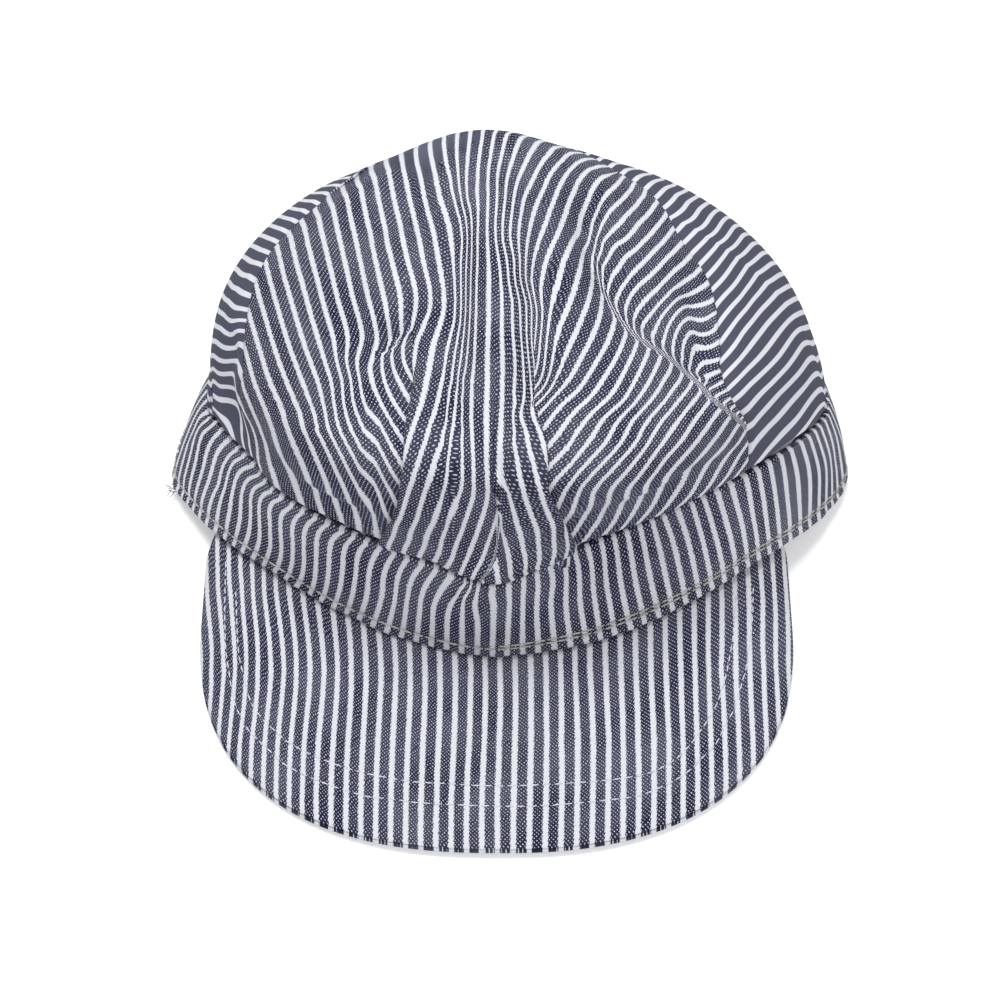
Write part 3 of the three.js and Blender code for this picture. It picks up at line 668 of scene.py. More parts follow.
def smooth_crown(turn, up):
    """The crown before its folds: a hem inside the band, then the dome."""
    turn, up = np.broadcast_arrays(turn, np.minimum(up, 1))
    depth = BAND_WALL + CLEARANCE
    hem_top = 1 + HEM_RISE / BAND_WIDTH
    hem_foot = 1 - HEM_DEPTH / BAND_WIDTH
    hem = band_point(turn, blend_of(hem_foot, hem_top, np.clip(up / HEM_SHARE, 0, 1)), depth)
    climbed = np.clip((up - HEM_SHARE) / (1 - HEM_SHARE), 0, 1)
    rise, side, ahead, behind, drift = (curve_through(RINGS[:, (0, k)], climbed) for k in range(1, 6))
    start = band_point(turn, hem_top, depth)
    even = smooth(0, EVEN_FROM, climbed)
    sideways = blend_of(start[..., 0], CROWN_HALF_WIDTH * np.sin(turn), even)
    lengthways = blend_of(start[..., 1], -CROWN_HALF_DEPTH * np.cos(turn), even)
    reach = np.where(np.cos(turn) > 0, ahead, behind)
    dome = points_of(
        PEAK_ASIDE * drift + sideways * side,
        PEAK_BACK * drift + lengthways * reach,
        start[..., 2] * (1 - rise) + CROWN_HEIGHT * rise,
    )
    return np.where((up < HEM_SHARE)[..., None], hem, dome)


def disc_of(turn, up):
    """Place of a point of the crown on a disc whose middle is the peak and whose rim is the hem."""
    turn, up = np.asarray(turn, float) * DEGREE, np.asarray(up, float)
    return np.stack([(1 - up) * np.sin(turn), -(1 - up) * np.cos(turn)], axis=-1)


def crown_at(disc):
    """The unfolded crown at places on the disc, rounded over at the peak."""
    away = np.hypot(disc[..., 0], disc[..., 1])
    spread = PEAK_ROUNDING * np.exp(-((away / PEAK_REACH) ** 2))
    total = 0
    for k in range(PEAK_SAMPLES):
        angle = k * 2 * math.pi / PEAK_SAMPLES
        aside = disc[..., 0] + spread * math.cos(angle)
        back = disc[..., 1] + spread * math.sin(angle)
        total = total + smooth_crown(np.arctan2(aside, -back), 1 - np.hypot(aside, back))
    return total / PEAK_SAMPLES


def run_along(points):
    """Length walked from a line's first point to each of its points."""
    return np.concatenate([[0], np.cumsum(np.linalg.norm(np.diff(points, axis=0), axis=1))])


def smooth_path(places, run, t):
    """Smooth line in a plane through places that stand at run, read at t."""
    return np.stack([curve_through(np.stack([run, places[:, k]], axis=1), t) for k in (0, 1)], axis=-1)


def line_of(places, t):
    """Smooth line on the disc through (turn, up) places, t from 0 to 1 by its length."""
    disc = disc_of(*np.array(places, float).T)
    run = run_along(disc)
    return smooth_path(disc, run / run[-1], t)


def nearest_on_line(points, line):
    """Distance from points to a line of 3-D points, and how far along the line the nearest place is."""
    best = np.full(points.shape[:-1], np.inf)
    along = np.zeros(points.shape[:-1])
    last = len(line) - 1
    for k in range(last):
        step = line[k + 1] - line[k]
        offset = points - line[k]
        t = np.clip(offset @ step / (step @ step), 0, 1)
        away = np.linalg.norm(offset - t[..., None] * step, axis=-1)
        closer = away < best
        best = np.where(closer, away, best)
        along = np.where(closer, (k + t) / last, along)
    return best, along


def side_of_line(plane, line):
    """Distance of places on the disc from a line, more than nothing on one side and less on the other."""
    away, _ = nearest_on_line(plane, line)
    steps = np.diff(line, axis=0)
    middles = (line[1:] + line[:-1]) / 2
    nearest = np.argmin(np.linalg.norm(plane[..., None, :] - middles, axis=-1), axis=-1)
    offset = plane - middles[nearest]
    along = steps[nearest]
    return away * np.sign(along[..., 0] * offset[..., 1] - along[..., 1] * offset[..., 0])


def fold_lift(points):
    """How far the folds move the crown outwards."""
    lift = np.zeros(points.shape[:-1])
    for _, places, height, width, sharp in CROWN_FOLDS:
        line = crown_at(line_of(places, np.linspace(0, 1, FOLD_POINTS)))
        away, along = nearest_on_line(points, line)
        reach = away / width
        soft = np.exp(-(reach**2))
        keen = np.exp(-np.sqrt(reach**2 + KEEN_ROUNDING) * KEEN_FALL)
        shape = blend_of(soft, keen, sharp)
        lift += height * shape * smooth(0, FOLD_END, along) * smooth(1, 1 - FOLD_END, along)
    return lift


def patchy(shape, cell, seed):
    """Smooth random field over a grid, with bumps about `cell` grid steps apart."""
    rng = np.random.default_rng(seed)
    rows = int(shape[0] / cell) + 4
    columns = int(shape[1] / cell) + 4
    knots = rng.standard_normal((rows, columns))
    y = np.arange(shape[0]) / cell + 1
    x = np.arange(shape[1]) / cell + 1

    def weights(place):
        """Shares of the four knots round each place, as a cubic B-spline gives them."""
        k = place.astype(int)
        f = place - k
        second = (3 * f**3 - 6 * f**2 + 4) / 6
        third = (-3 * f**3 + 3 * f**2 + 3 * f + 1) / 6
        return k, ((1 - f) ** 3 / 6, second, third, f**3 / 6)

    ky, wy = weights(y)
    kx, wx = weights(x)
    down = sum(knots[np.clip(ky + k - 1, 0, rows - 1)] * wy[k][:, None] for k in range(4))
    return sum(down[:, np.clip(kx + k - 1, 0, columns - 1)] * wx[k][None, :] for k in range(4))


def wrinkles(shape, cell, seed):
    """Broad wrinkles about `cell` grid steps apart and fine ones over them, in millimetres."""
    return patchy(shape, cell, seed) * WRINKLE + patchy(shape, FINE_CELL, seed + 1) * FINE_WRINKLE


def grid_normals(points):
    """Directions square to the surface of a grid of places."""
    return unit(np.cross(np.gradient(points, axis=1), np.gradient(points, axis=0)))


# The camera's place, which the stripe charts are read from too
EYE_TARGET = np.array((-3, 0, -10.5))
EYE_DISTANCE = 1000
EYE_HEIGHT = 50 * DEGREE
EYE_ZOOM = EYE_DISTANCE / 0.315
EYE_BACK = np.array((0, -math.cos(EYE_HEIGHT), math.sin(EYE_HEIGHT)))
EYE_UP = np.array((0, math.sin(EYE_HEIGHT), math.cos(EYE_HEIGHT)))
EYE = EYE_TARGET + EYE_DISTANCE * EYE_BACK


def seen_from_eye(points):
    """Places in the picture, in pixels from its left and upper edges."""
    away = -(points - EYE) @ EYE_BACK
    x = PICTURE_MIDDLE + EYE_ZOOM * (points - EYE)[..., 0] / away
    y = PICTURE_MIDDLE - EYE_ZOOM * (points - EYE) @ EYE_UP / away
    return np.stack([x, y], axis=-1)


def chart_points(rows, lines=()):
    """Points of charts as picture x, picture y and stripe number."""
    points = [(x, height, first + k) for height, first, places in rows for k, x in enumerate(places)]
    points += [(x, y, number) for number, places in lines for x, y in places]
    return np.array(points, float)


def line_chart(places):
    """Chart of one line in the picture, which needs no stripe number."""
    return np.array([(x, y, 0) for x, y in places], float)


def chart_on_surface(chart, points, normals, plane, allowed=True, least_facing=0):
    """Moves a chart's points from the picture to a surface's own plane coordinates.

    Points are left out where the surface turns away from the camera or isn't allowed."""
    seen = seen_from_eye(points)
    toward_eye = np.einsum("ijk,ijk->ij", normals, unit(EYE - points))
    facing = (toward_eye > 0) & allowed
    placed = []
    for x, y, number in chart:
        miss = np.where(facing, np.hypot(seen[..., 0] - x, seen[..., 1] - y), np.inf)
        j, i = np.unravel_index(np.argmin(miss), miss.shape)
        if miss[j, i] > CHART_MISS or toward_eye[j, i] < least_facing:
            continue
        j, i = np.clip(j, 1, miss.shape[0] - 2), np.clip(i, 1, miss.shape[1] - 2)
        around = (slice(j - 1, j + 2), slice(i - 1, i + 2))
        local = seen[around].reshape(-1, 2)
        basis = np.column_stack([local - (x, y), np.ones(len(local))])
        fit = np.linalg.lstsq(basis, plane[around].reshape(-1, 2), rcond=None)[0][2]
        middle = plane[j, i]
        limit = np.abs(plane[around].reshape(-1, 2) - middle).max()
        placed.append((*np.clip(fit, middle - 2 * limit, middle + 2 * limit), number))
    return np.array(placed)


def bending(away):
    """Bending of a thin plate at distances from a point that holds it."""
    return away**2 * np.log(np.maximum(away, 1e-9))


def stripe_numbers(placed, plane, give=1e-4):
    """Stripe number everywhere on a surface, bent smoothly through the charted points.

    The greater give is, the further the stripes may leave their points to stay smooth."""
    spots, numbers = placed[:, :2], placed[:, 2]
    count = len(spots)
    away = np.linalg.norm(spots[:, None] - spots[None], axis=-1)
    system = np.zeros((count + 3, count + 3))
    system[:count, :count] = bending(away) + give * np.eye(count)
    system[:count, count] = 1
    system[:count, count + 1:] = spots
    system[count:, :count] = system[:count, count:].T
    weights = np.linalg.solve(system, np.concatenate([numbers, np.zeros(3)]))
    flat = plane.reshape(-1, 2)
    result = weights[count] + flat @ weights[count + 1:]
    for start in range(0, len(flat), PLACES_AT_ONCE):
        part = slice(start, start + PLACES_AT_ONCE)
        away = np.linalg.norm(flat[part][:, None] - spots[None], axis=-1)
        result[part] += bending(away) @ weights[:count]
    return result.reshape(plane.shape[:-1])


# Meshes

def band_outside():
    """Even grid of places on the band's outer side, its rows from the lower edge to the upper one."""
    turn = np.linspace(-math.pi, math.pi, 721)
    return band_point(turn[None, :], np.linspace(0, 1, 21)[:, None], 0)


def cap_shift():
    """From the cap's own frame to the row frame, found from the band."""
    low, high = (np.array(corner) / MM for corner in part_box("band"))
    mine = band_outside().reshape(-1, 3)
    middle = (mine.min(axis=0) + mine.max(axis=0)) / 2
    shift = (low + high) / 2 - middle
    shift[2] = 0
    return shift


def new_piece(name, vertices, quads, corners_uv, material):
    mesh = bpy.data.meshes.new(name)
    mesh.vertices.add(len(vertices))
    mesh.vertices.foreach_set("co", ((vertices + cap_shift()) * MM).astype(np.float32).ravel())
    mesh.loops.add(quads.size)
    mesh.loops.foreach_set("vertex_index", quads.astype(np.int32).ravel())
    mesh.polygons.add(len(quads))
    mesh.polygons.foreach_set("loop_start", np.arange(0, quads.size, 4, dtype=np.int32))
    mesh.update(calc_edges=True)
    mesh.polygons.foreach_set("use_smooth", np.ones(len(quads), dtype=bool))
    for k, name_of_layer in enumerate(("Cloth", "Thread")):
        layer = mesh.uv_layers.new(name=name_of_layer)
        layer.data.foreach_set("uv", corners_uv[..., 2 * k:2 * k + 2].astype(np.float32).ravel())
    mesh.validate()
    mesh.materials.append(material)
    piece = bpy.data.objects.new(name, mesh)
    bpy.context.scene.collection.objects.link(piece)
    return piece


def quads_between(rows, columns, at):
    j, i = np.meshgrid(rows, columns, indexing="ij")
    j, i = j.ravel(), i.ravel()
    return np.stack([at(j, i), at(j, i + 1), at(j + 1, i + 1), at(j + 1, i)], axis=1), j, i


def cloth_sheet(name, points, wall, cloths, zone, material):
    """Sheet of cloth with a wall.

    cloths are the sheet's stripe and thread places, one grid for each zone of the cloth, and zone
    tells which of them each column of faces takes."""
    rows, columns = points.shape[:2]
    inner = points - wall * grid_normals(points)
    vertices = np.concatenate([points.reshape(-1, 3), inner.reshape(-1, 3)])
    count = rows * columns
    cloths = np.stack(cloths)

    def at(j, i):
        return j * columns + i

    def uv(j, i, of):
        return cloths[zone[of], j, i]

    outer, j, i = quads_between(np.arange(rows - 1), np.arange(columns - 1), at)
    outer_uv = np.stack([uv(j, i, i), uv(j, i + 1, i), uv(j + 1, i + 1, i), uv(j + 1, i, i)], axis=1)
    faces = [outer, outer[:, ::-1] + count]
    places = [outer_uv, outer_uv[:, ::-1]]

    def close_edge(j, i, of, way):
        """Wall between the outer and the inner side, along a run of the grid's places."""
        start, end = at(j[:-1], i[:-1]), at(j[1:], i[1:])
        start_uv, end_uv = uv(j[:-1], i[:-1], of), uv(j[1:], i[1:], of)
        faces.append(np.stack([start, start + count, end + count, end], axis=1)[:, ::way])
        places.append(np.stack([start_uv, start_uv, end_uv, end_uv], axis=1)[:, ::way])

    j, i = np.arange(rows), np.arange(columns)
    close_edge(np.full(columns, 0), i, i[:-1], 1)
    close_edge(np.full(columns, rows - 1), i, i[:-1], -1)
    close_edge(j, np.full(rows, 0), np.full(rows - 1, 0), -1)
    close_edge(j, np.full(rows, columns - 1), np.full(rows - 1, columns - 2), 1)
    return new_piece(name, vertices, np.concatenate(faces), np.concatenate(places), material)


def cloth_ring(name, points, cloth, material):
    """Ring of cloth whose rows run round its own section and whose columns run round the head."""
    rows, columns = points.shape[0], points.shape[1] - 1

    def at(j, i):
        return (j % rows) * columns + i % columns

    faces, j, i = quads_between(np.arange(rows), np.arange(columns), at)
    places = np.stack([cloth[j, i], cloth[j, i + 1], cloth[j + 1, i + 1], cloth[j + 1, i]], axis=1)
    return new_piece(name, points[:, :-1].reshape(-1, 3), faces, places, material)


def dress(piece, slot, *nodes):
    if nodes:
        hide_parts(*nodes)
    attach(piece, "root")


# Cloth material

def group_socket(group, name, kind, way, default=None):
    socket = group.interface.new_socket(name=name, in_out=way, socket_type=kind)
    if default is not None:
        socket.default_value = default
    return socket


class Wiring:
    """Short ways to add nodes to a tree."""

    def __init__(self, tree):
        self.tree = tree

    def node(self, kind, **settings):
        node = self.tree.nodes.new(kind)
        for key, value in settings.items():
            setattr(node, key, value)
        return node

    def join(self, source, target):
        self.tree.links.new(source, target)

    def set(self, socket, value):
        if isinstance(value, bpy.types.NodeSocket):
            self.join(value, socket)
        else:
            socket.default_value = value

    def parts_of(self, vector):
        """X, Y and Z of a vector."""
        node = self.node("ShaderNodeSeparateXYZ")
        self.join(vector, node.inputs[0])
        return node.outputs

    def math(self, operation, *values):
        node = self.node("ShaderNodeMath", operation=operation)
        for k, value in enumerate(values):
            self.set(node.inputs[k], value)
        return node.outputs[0]

    def ramp(self, value, low, high, to_low=0.0, to_high=1.0):
        node = self.node("ShaderNodeMapRange", interpolation_type="SMOOTHSTEP")
        for key, given in (
            ("Value", value), ("From Min", low), ("From Max", high), ("To Min", to_low), ("To Max", to_high),
        ):
            self.set(node.inputs[key], given)
        return node.outputs[0]

    def mix(self, share, a, b):
        node = self.node("ShaderNodeMix", data_type="RGBA")
        self.set(node.inputs[0], share)
        self.set(node.inputs[6], a)
        self.set(node.inputs[7], b)
        return node.outputs[2]

    def noise(self, vector, scale, detail=2.0):
        node = self.node("ShaderNodeTexNoise")
        self.set(node.inputs["Vector"], vector)
        node.inputs["Scale"].default_value = scale
        node.inputs["Detail"].default_value = detail
        return node.outputs["Fac"]


def hickory_group():
    """Colour and relief of striped twill from its place in the cloth, in millimetres."""
    tree = bpy.data.node_groups.new("Hickory twill", "ShaderNodeTree")
    for name, kind, default in (
        ("Cloth", "NodeSocketVector", None),
        ("Thread", "NodeSocketVector", None),
        ("Stripe Pitch", "NodeSocketFloat", 4.4),
        ("White Share", "NodeSocketFloat", 0.36),
        ("Thread Pitch", "NodeSocketFloat", 0.55),
        ("Blue", "NodeSocketColor", (0.02, 0.02, 0.05, 1)),
        ("White", "NodeSocketColor", (0.65, 0.66, 0.7, 1)),
        ("Fleck", "NodeSocketColor", (0.35, 0.37, 0.48, 1)),
        ("Wear And Light", "NodeSocketFloat", 0.1),
    ):
        group_socket(tree, name, kind, "INPUT", default)
    results = (("Color", "NodeSocketColor"), ("Height", "NodeSocketFloat"), ("Roughness", "NodeSocketFloat"))
    for name, kind in results:
        group_socket(tree, name, kind, "OUTPUT")
    w = Wiring(tree)
    given = w.node("NodeGroupInput").outputs
    across = w.parts_of(given["Cloth"])[0]
    place = w.parts_of(given["Thread"])
    soft = w.noise(given["Thread"], SOFT_SCALE, 3.0)
    broad = w.noise(given["Thread"], BROAD_SCALE, 3.0)

    # Threads in their two directions, which waver a little
    waver = w.math("MULTIPLY", w.math("SUBTRACT", w.noise(given["Thread"], WAVER_SCALE, 1.0), 0.5), WAVER)
    warp = w.math("DIVIDE", w.math("ADD", place[0], waver), given["Thread Pitch"])
    weft = w.math("DIVIDE", w.math("ADD", place[1], waver), given["Thread Pitch"])
    warp_number = w.math("FLOOR", warp)
    weft_number = w.math("FLOOR", weft)

    # A pale dot wherever the two threads' numbers add up to an even one
    even = w.math("FLOORED_MODULO", w.math("ADD", warp_number, weft_number), 2.0)
    over = w.math("LESS_THAN", even, 0.5)
    warp_in = w.math("SUBTRACT", w.math("FRACT", warp), 0.5)
    weft_in = w.math("SUBTRACT", w.math("FRACT", weft), 0.5)
    slant = w.math("MULTIPLY", w.math("ADD", warp_in, weft_in), FLECK_SQUEEZE)
    upright = w.math("MULTIPLY", w.math("SUBTRACT", warp_in, weft_in), FLECK_STRETCH)
    squares = w.math("ADD", w.math("MULTIPLY", slant, slant), w.math("MULTIPLY", upright, upright))
    away = w.math("SQRT", squares)
    dot = w.math("MULTIPLY", over, w.ramp(away, *FLECK_EDGE))
    cell = w.node("ShaderNodeCombineXYZ")
    w.join(warp_number, cell.inputs[0])
    w.join(weft_number, cell.inputs[1])
    chance = w.node("ShaderNodeTexWhiteNoise", noise_dimensions="2D")
    w.join(cell.outputs[0], chance.inputs["Vector"])
    fleck_share = w.math("MULTIPLY", dot, w.ramp(chance.outputs["Value"], 0.0, 1.0, LEAST_FLECK, 1.0))

    # White stripes with toothed, uneven edges
    tooth = w.math("MULTIPLY", w.math("SINE", w.math("MULTIPLY", w.math("ADD", weft, warp), math.pi)), TOOTH)
    edge_noise = w.math("MULTIPLY", w.math("SUBTRACT", soft, 0.5), EDGE_NOISE)
    shifted = w.math("ADD", w.math("ADD", across, tooth), edge_noise)
    turns = w.math("DIVIDE", shifted, given["Stripe Pitch"])
    off = w.math("ABSOLUTE", w.math("SUBTRACT", w.math("FRACT", w.math("ADD", turns, 0.5)), 0.5))
    half = w.math("MULTIPLY", given["White Share"], 0.5)
    white = w.ramp(off, w.math("ADD", half, EDGE_SOFTNESS), w.math("SUBTRACT", half, EDGE_SOFTNESS))

    # Patches where the blue is lightened towards the fleck: cloth rubbed pale by use, and on the rear piece
    # partly painted light.
    worn_and_lit = w.ramp(broad, *WORN_AND_LIT_PATCHES, 0.0, given["Wear And Light"])
    blue = w.mix(fleck_share, w.mix(worn_and_lit, given["Blue"], given["Fleck"]), given["Fleck"])
    shade = w.math("MULTIPLY", w.ramp(away, *WHITE_SHADE_EDGE), WHITE_SHADE)
    color = w.mix(white, blue, w.mix(shade, given["White"], given["Fleck"]))
    round_yarn = w.math("MULTIPLY", w.ramp(away, *YARN_EDGE), YARN_ROUND)
    height = w.math("ADD", round_yarn, w.math("MULTIPLY", soft, YARN_FUZZ))
    out = w.node("NodeGroupOutput")
    w.join(color, out.inputs["Color"])
    w.join(height, out.inputs["Height"])
    w.join(w.ramp(soft, *ROUGH_PATCHES, *CLOTH_ROUGHNESS), out.inputs["Roughness"])
    return tree


def linear(color):
    """Linear colour from the 0-255 values that a picture shows."""
    return tuple(((c / 255 + 0.055) / 1.055) ** 2.4 for c in color)


def hickory_cloth(name, settings):
    """The material of one cloth, made once from the settings and the cloth's own look."""
    found = bpy.data.materials.get(name)
    if found:
        return found
    wear_and_light, coarse, slim = CLOTH_LOOKS[name]
    group = bpy.data.node_groups.get("Hickory twill") or hickory_group()
    material = bpy.data.materials.new(name)
    material.use_nodes = True
    tree = material.node_tree
    w = Wiring(tree)
    shader = tree.nodes["Principled BSDF"]
    shader.inputs["Specular IOR Level"].default_value = CLOTH_GLOSS
    twill = w.node("ShaderNodeGroup", node_tree=group)
    for layer in ("Cloth", "Thread"):
        w.join(w.node("ShaderNodeUVMap", uv_map=layer).outputs[0], twill.inputs[layer])
    for socket, value in (
        ("Stripe Pitch", settings.stripe_pitch / MM),
        ("White Share", slim * settings.white_share),
        ("Thread Pitch", coarse * settings.thread_pitch / MM),
        ("Blue", (*settings.blue, 1)),
        ("White", (*settings.white, 1)),
        ("Fleck", (*settings.fleck, 1)),
        ("Wear And Light", wear_and_light),
    ):
        twill.inputs[socket].default_value = value
    bump = w.node("ShaderNodeBump")
    bump.inputs["Strength"].default_value = YARN_RELIEF_SHARE
    bump.inputs["Distance"].default_value = YARN_RELIEF * MM
    w.join(twill.outputs["Height"], bump.inputs["Height"])
    w.join(twill.outputs["Color"], shader.inputs["Base Color"])
    w.join(twill.outputs["Roughness"], shader.inputs["Roughness"])
    w.join(bump.outputs[0], shader.inputs["Normal"])
    return material


def thread_material(name, thread):
    """Sewing thread with darker places between its plies."""
    material = bpy.data.materials.new(name)
    material.use_nodes = True
    w = Wiring(material.node_tree)
    shader = material.node_tree.nodes["Principled BSDF"]
    shader.inputs["Roughness"].default_value = THREAD_ROUGHNESS
    place = w.node("ShaderNodeTexCoord")
    ply = w.noise(place.outputs["Object"], PLY_SCALE, 1.0)
    color = w.mix(w.ramp(ply, *PLY_EDGE), (*[c * PLY_SHADE for c in thread], 1), (*thread, 1))
    w.join(color, shader.inputs["Base Color"])
    return material


def stitch_group():
    """Geometry nodes that put one stitch on every point, turned by the points' own attribute."""
    tree = bpy.data.node_groups.new("Topstitching", "GeometryNodeTree")
    group_socket(tree, "Geometry", "NodeSocketGeometry", "INPUT")
    for name, kind, default in (
        ("Stitch Length", "NodeSocketFloat", 0.003), ("Thread Width", "NodeSocketFloat", 0.0004),
        ("Unevenness", "NodeSocketFloat", 0.1), ("Seed", "NodeSocketInt", 1),
    ):
        group_socket(tree, name, kind, "INPUT", default)
    group_socket(tree, "Thread", "NodeSocketMaterial", "INPUT")
    group_socket(tree, "Geometry", "NodeSocketGeometry", "OUTPUT")
    w = Wiring(tree)
    given = w.node("NodeGroupInput").outputs
    ball = w.node("GeometryNodeMeshUVSphere")
    ball.inputs["Segments"].default_value = 8
    ball.inputs["Rings"].default_value = 6
    ball.inputs["Radius"].default_value = 0.5
    size = w.node("ShaderNodeCombineXYZ")
    w.join(given["Stitch Length"], size.inputs[0])
    w.join(given["Thread Width"], size.inputs[1])
    w.join(given["Thread Width"], size.inputs[2])
    stretch = w.node("GeometryNodeTransform")
    w.join(ball.outputs["Mesh"], stretch.inputs["Geometry"])
    w.join(size.outputs[0], stretch.inputs["Scale"])
    turn = w.node("GeometryNodeInputNamedAttribute", data_type="FLOAT_VECTOR")
    turn.inputs["Name"].default_value = "turn"
    chance = w.node("FunctionNodeRandomValue", data_type="FLOAT")
    for key, value in (("Min", w.math("MULTIPLY", given["Unevenness"], -1.0)), ("Max", given["Unevenness"]),
                       ("Seed", given["Seed"])):
        socket = [each for each in chance.inputs if each.name == key and each.enabled][0]
        w.join(value, socket)
    swing = w.node("ShaderNodeCombineXYZ")
    w.join([each for each in chance.outputs if each.enabled][0], swing.inputs[2])
    facing = w.node("FunctionNodeEulerToRotation")
    w.join(turn.outputs["Attribute"], facing.inputs[0])
    aside = w.node("FunctionNodeEulerToRotation")
    w.join(swing.outputs[0], aside.inputs[0])
    both = w.node("FunctionNodeRotateRotation", rotation_space="LOCAL")
    w.join(facing.outputs[0], both.inputs[0])
    w.join(aside.outputs[0], both.inputs[1])
    place = w.node("GeometryNodeInstanceOnPoints")
    w.join(given["Geometry"], place.inputs["Points"])
    w.join(stretch.outputs[0], place.inputs["Instance"])
    w.join(both.outputs[0], place.inputs["Rotation"])
    real = w.node("GeometryNodeRealizeInstances")
    w.join(place.outputs[0], real.inputs[0])
    soft = w.node("GeometryNodeSetShadeSmooth")
    w.join(real.outputs[0], soft.inputs[0])
    finish = w.node("GeometryNodeSetMaterial")
    w.join(soft.outputs[0], finish.inputs["Geometry"])
    w.join(given["Thread"], finish.inputs["Material"])
    w.join(finish.outputs[0], w.node("NodeGroupOutput").inputs[0])
    return tree


def along_path(path, normals, pitch):
    """Middles, directions and outward directions of stitches laid end to end on a line of points."""
    run = run_along(path)
    at = np.arange(pitch / 2, run[-1], pitch)

    def value(table, place):
        return np.stack([np.interp(place, run, table[:, k]) for k in range(3)], axis=-1)

    along = unit(value(path, at + pitch / 3) - value(path, at - pitch / 3))
    return value(path, at), along, unit(value(normals, at))


def sew(name, slot, seams, length, width, thread, seed):
    """One row of stitches for each (middles, directions, outward directions), as one plain mesh."""
    middles, along, outward = (np.concatenate([seam[k] for seam in seams]) for k in range(3))
    aside = unit(np.cross(outward, along))
    upright = np.cross(along, aside)
    turns = [Matrix(np.stack(frame, axis=1).tolist()).to_euler() for frame in zip(along, aside, upright)]
    mesh = bpy.data.meshes.new(name)
    mesh.from_pydata(((middles + cap_shift()) * MM).tolist(), [], [])
    mesh.attributes.new("turn", "FLOAT_VECTOR", "POINT").data.foreach_set("vector", np.array(turns).ravel())
    piece = bpy.data.objects.new(name, mesh)
    bpy.context.scene.collection.objects.link(piece)
    group = bpy.data.node_groups.get("Topstitching") or stitch_group()
    modifier = piece.modifiers.new("Stitches", "NODES")
    modifier.node_group = group
    sockets = {item.name: item.identifier for item in group.interface.items_tree if item.in_out == "INPUT"}
    for key, value in (
        ("Stitch Length", length), ("Thread Width", width), ("Unevenness", STITCH_UNEVENNESS),
        ("Seed", seed), ("Thread", thread),
    ):
        modifier[sockets[key]] = value
    bpy.context.view_layer.update()
    plain = bpy.data.meshes.new_from_object(piece.evaluated_get(bpy.context.evaluated_depsgraph_get()))
    piece.modifiers.remove(modifier)
    piece.data = plain
    dress(piece, slot)
    return piece


# Pieces

def crown_columns():
    """Where the front piece's columns stand between its control lines, in five parts.

    The second and fourth parts are the left and right pleats."""
    left, middle = ZONES_AT[1:3]
    before, between, after = FRONT_COLUMNS
    outer = PLEAT_OUTER / FRONT_SPAN
    inner = PLEAT_INNER / FRONT_SPAN
    return (
        np.linspace(0, left - outer, before)[:-1],
        left + PLEAT[:, 0] / FRONT_SPAN,
        np.linspace(left + inner, middle - inner, between)[1:-1],
        middle - PLEAT[::-1, 0] / FRONT_SPAN,
        np.linspace(middle + outer, 1, after)[1:],
    )


def front_plane(s, t):
    """Disc places of the front piece: s across it and t from its hem to the seam behind the peak."""
    lines = [line_of(places, t) for places in (LEFT_SEAM, LEFT_PLEAT, RIGHT_PLEAT, RIGHT_SEAM)]
    result = np.empty(t.shape + s.shape + (2,))
    for k, place in enumerate(s):
        zone = min(np.searchsorted(ZONES_AT, place, side="right") - 1, 2)
        share = (place - ZONES_AT[zone]) / (ZONES_AT[zone + 1] - ZONES_AT[zone])
        result[:, k] = blend_of(lines[zone], lines[zone + 1], share)
    return result


def folded_crown(disc):
    """Crown with its folds at disc places, and its outward directions before them."""
    points = crown_at(disc)
    aside = crown_at(disc + (DISC_STEP, 0)) - crown_at(disc - (DISC_STEP, 0))
    back = crown_at(disc + (0, DISC_STEP)) - crown_at(disc - (0, DISC_STEP))
    outward = unit(np.cross(aside, back))
    up = 1 - np.hypot(disc[..., 0], disc[..., 1])
    turn = np.degrees(np.arctan2(disc[..., 0], -disc[..., 1]))
    fuller = 1 + sum(more * np.exp(-(((turn - at) / reach) ** 2)) for at, reach, more in HEM_FULLER)
    swell = HEM_SWELL * fuller * smooth(*HEM_SWELL_BEGINS, up) * smooth(*HEM_SWELL_ENDS, up)
    lift = smooth(*FOLDS_BEGIN, up) * fold_lift(points) + swell
    return points + outward * lift[..., None], outward


def lay_pleat(points, outward, columns, s, at, side, rows_up):
    """Folds the cloth over at one pleat: side is 1 where the raised cloth lies towards +X."""
    strength = smooth(*PLEAT_FADE, rows_up)
    line = np.argmin(np.abs(s - at))
    across = unit(points[:, line + 2] - points[:, line - 2])
    span = np.linalg.norm(points[:, line + 3] - points[:, line - 3], axis=1) / (s[line + 3] - s[line - 3])
    table = PLEAT if side > 0 else PLEAT[::-1]
    moved = points.copy()
    for k, column in enumerate(columns):
        flat, folded, height = table[k]
        shift = side * folded - (s[column] - at) * span
        fade = strength if abs(flat) < PLEAT_FOOT else strength * 0.5
        moved[:, column] += across * (shift * fade)[:, None] + outward[:, column] * (height * fade)[:, None]
    return moved


def arc_up(points):
    """Length of cloth from the first row of a grid."""
    steps = np.linalg.norm(np.diff(points, axis=0), axis=2)
    return np.concatenate([np.zeros((1, points.shape[1])), np.cumsum(steps, axis=0)])


def beyond_ends(disc, line):
    """How far places lie past the ends of a line, measured along its end directions."""
    first = (disc - line[0]) @ unit(line[0] - line[1])
    last = (disc - line[-1]) @ unit(line[-1] - line[-2])
    return np.maximum(first, last)


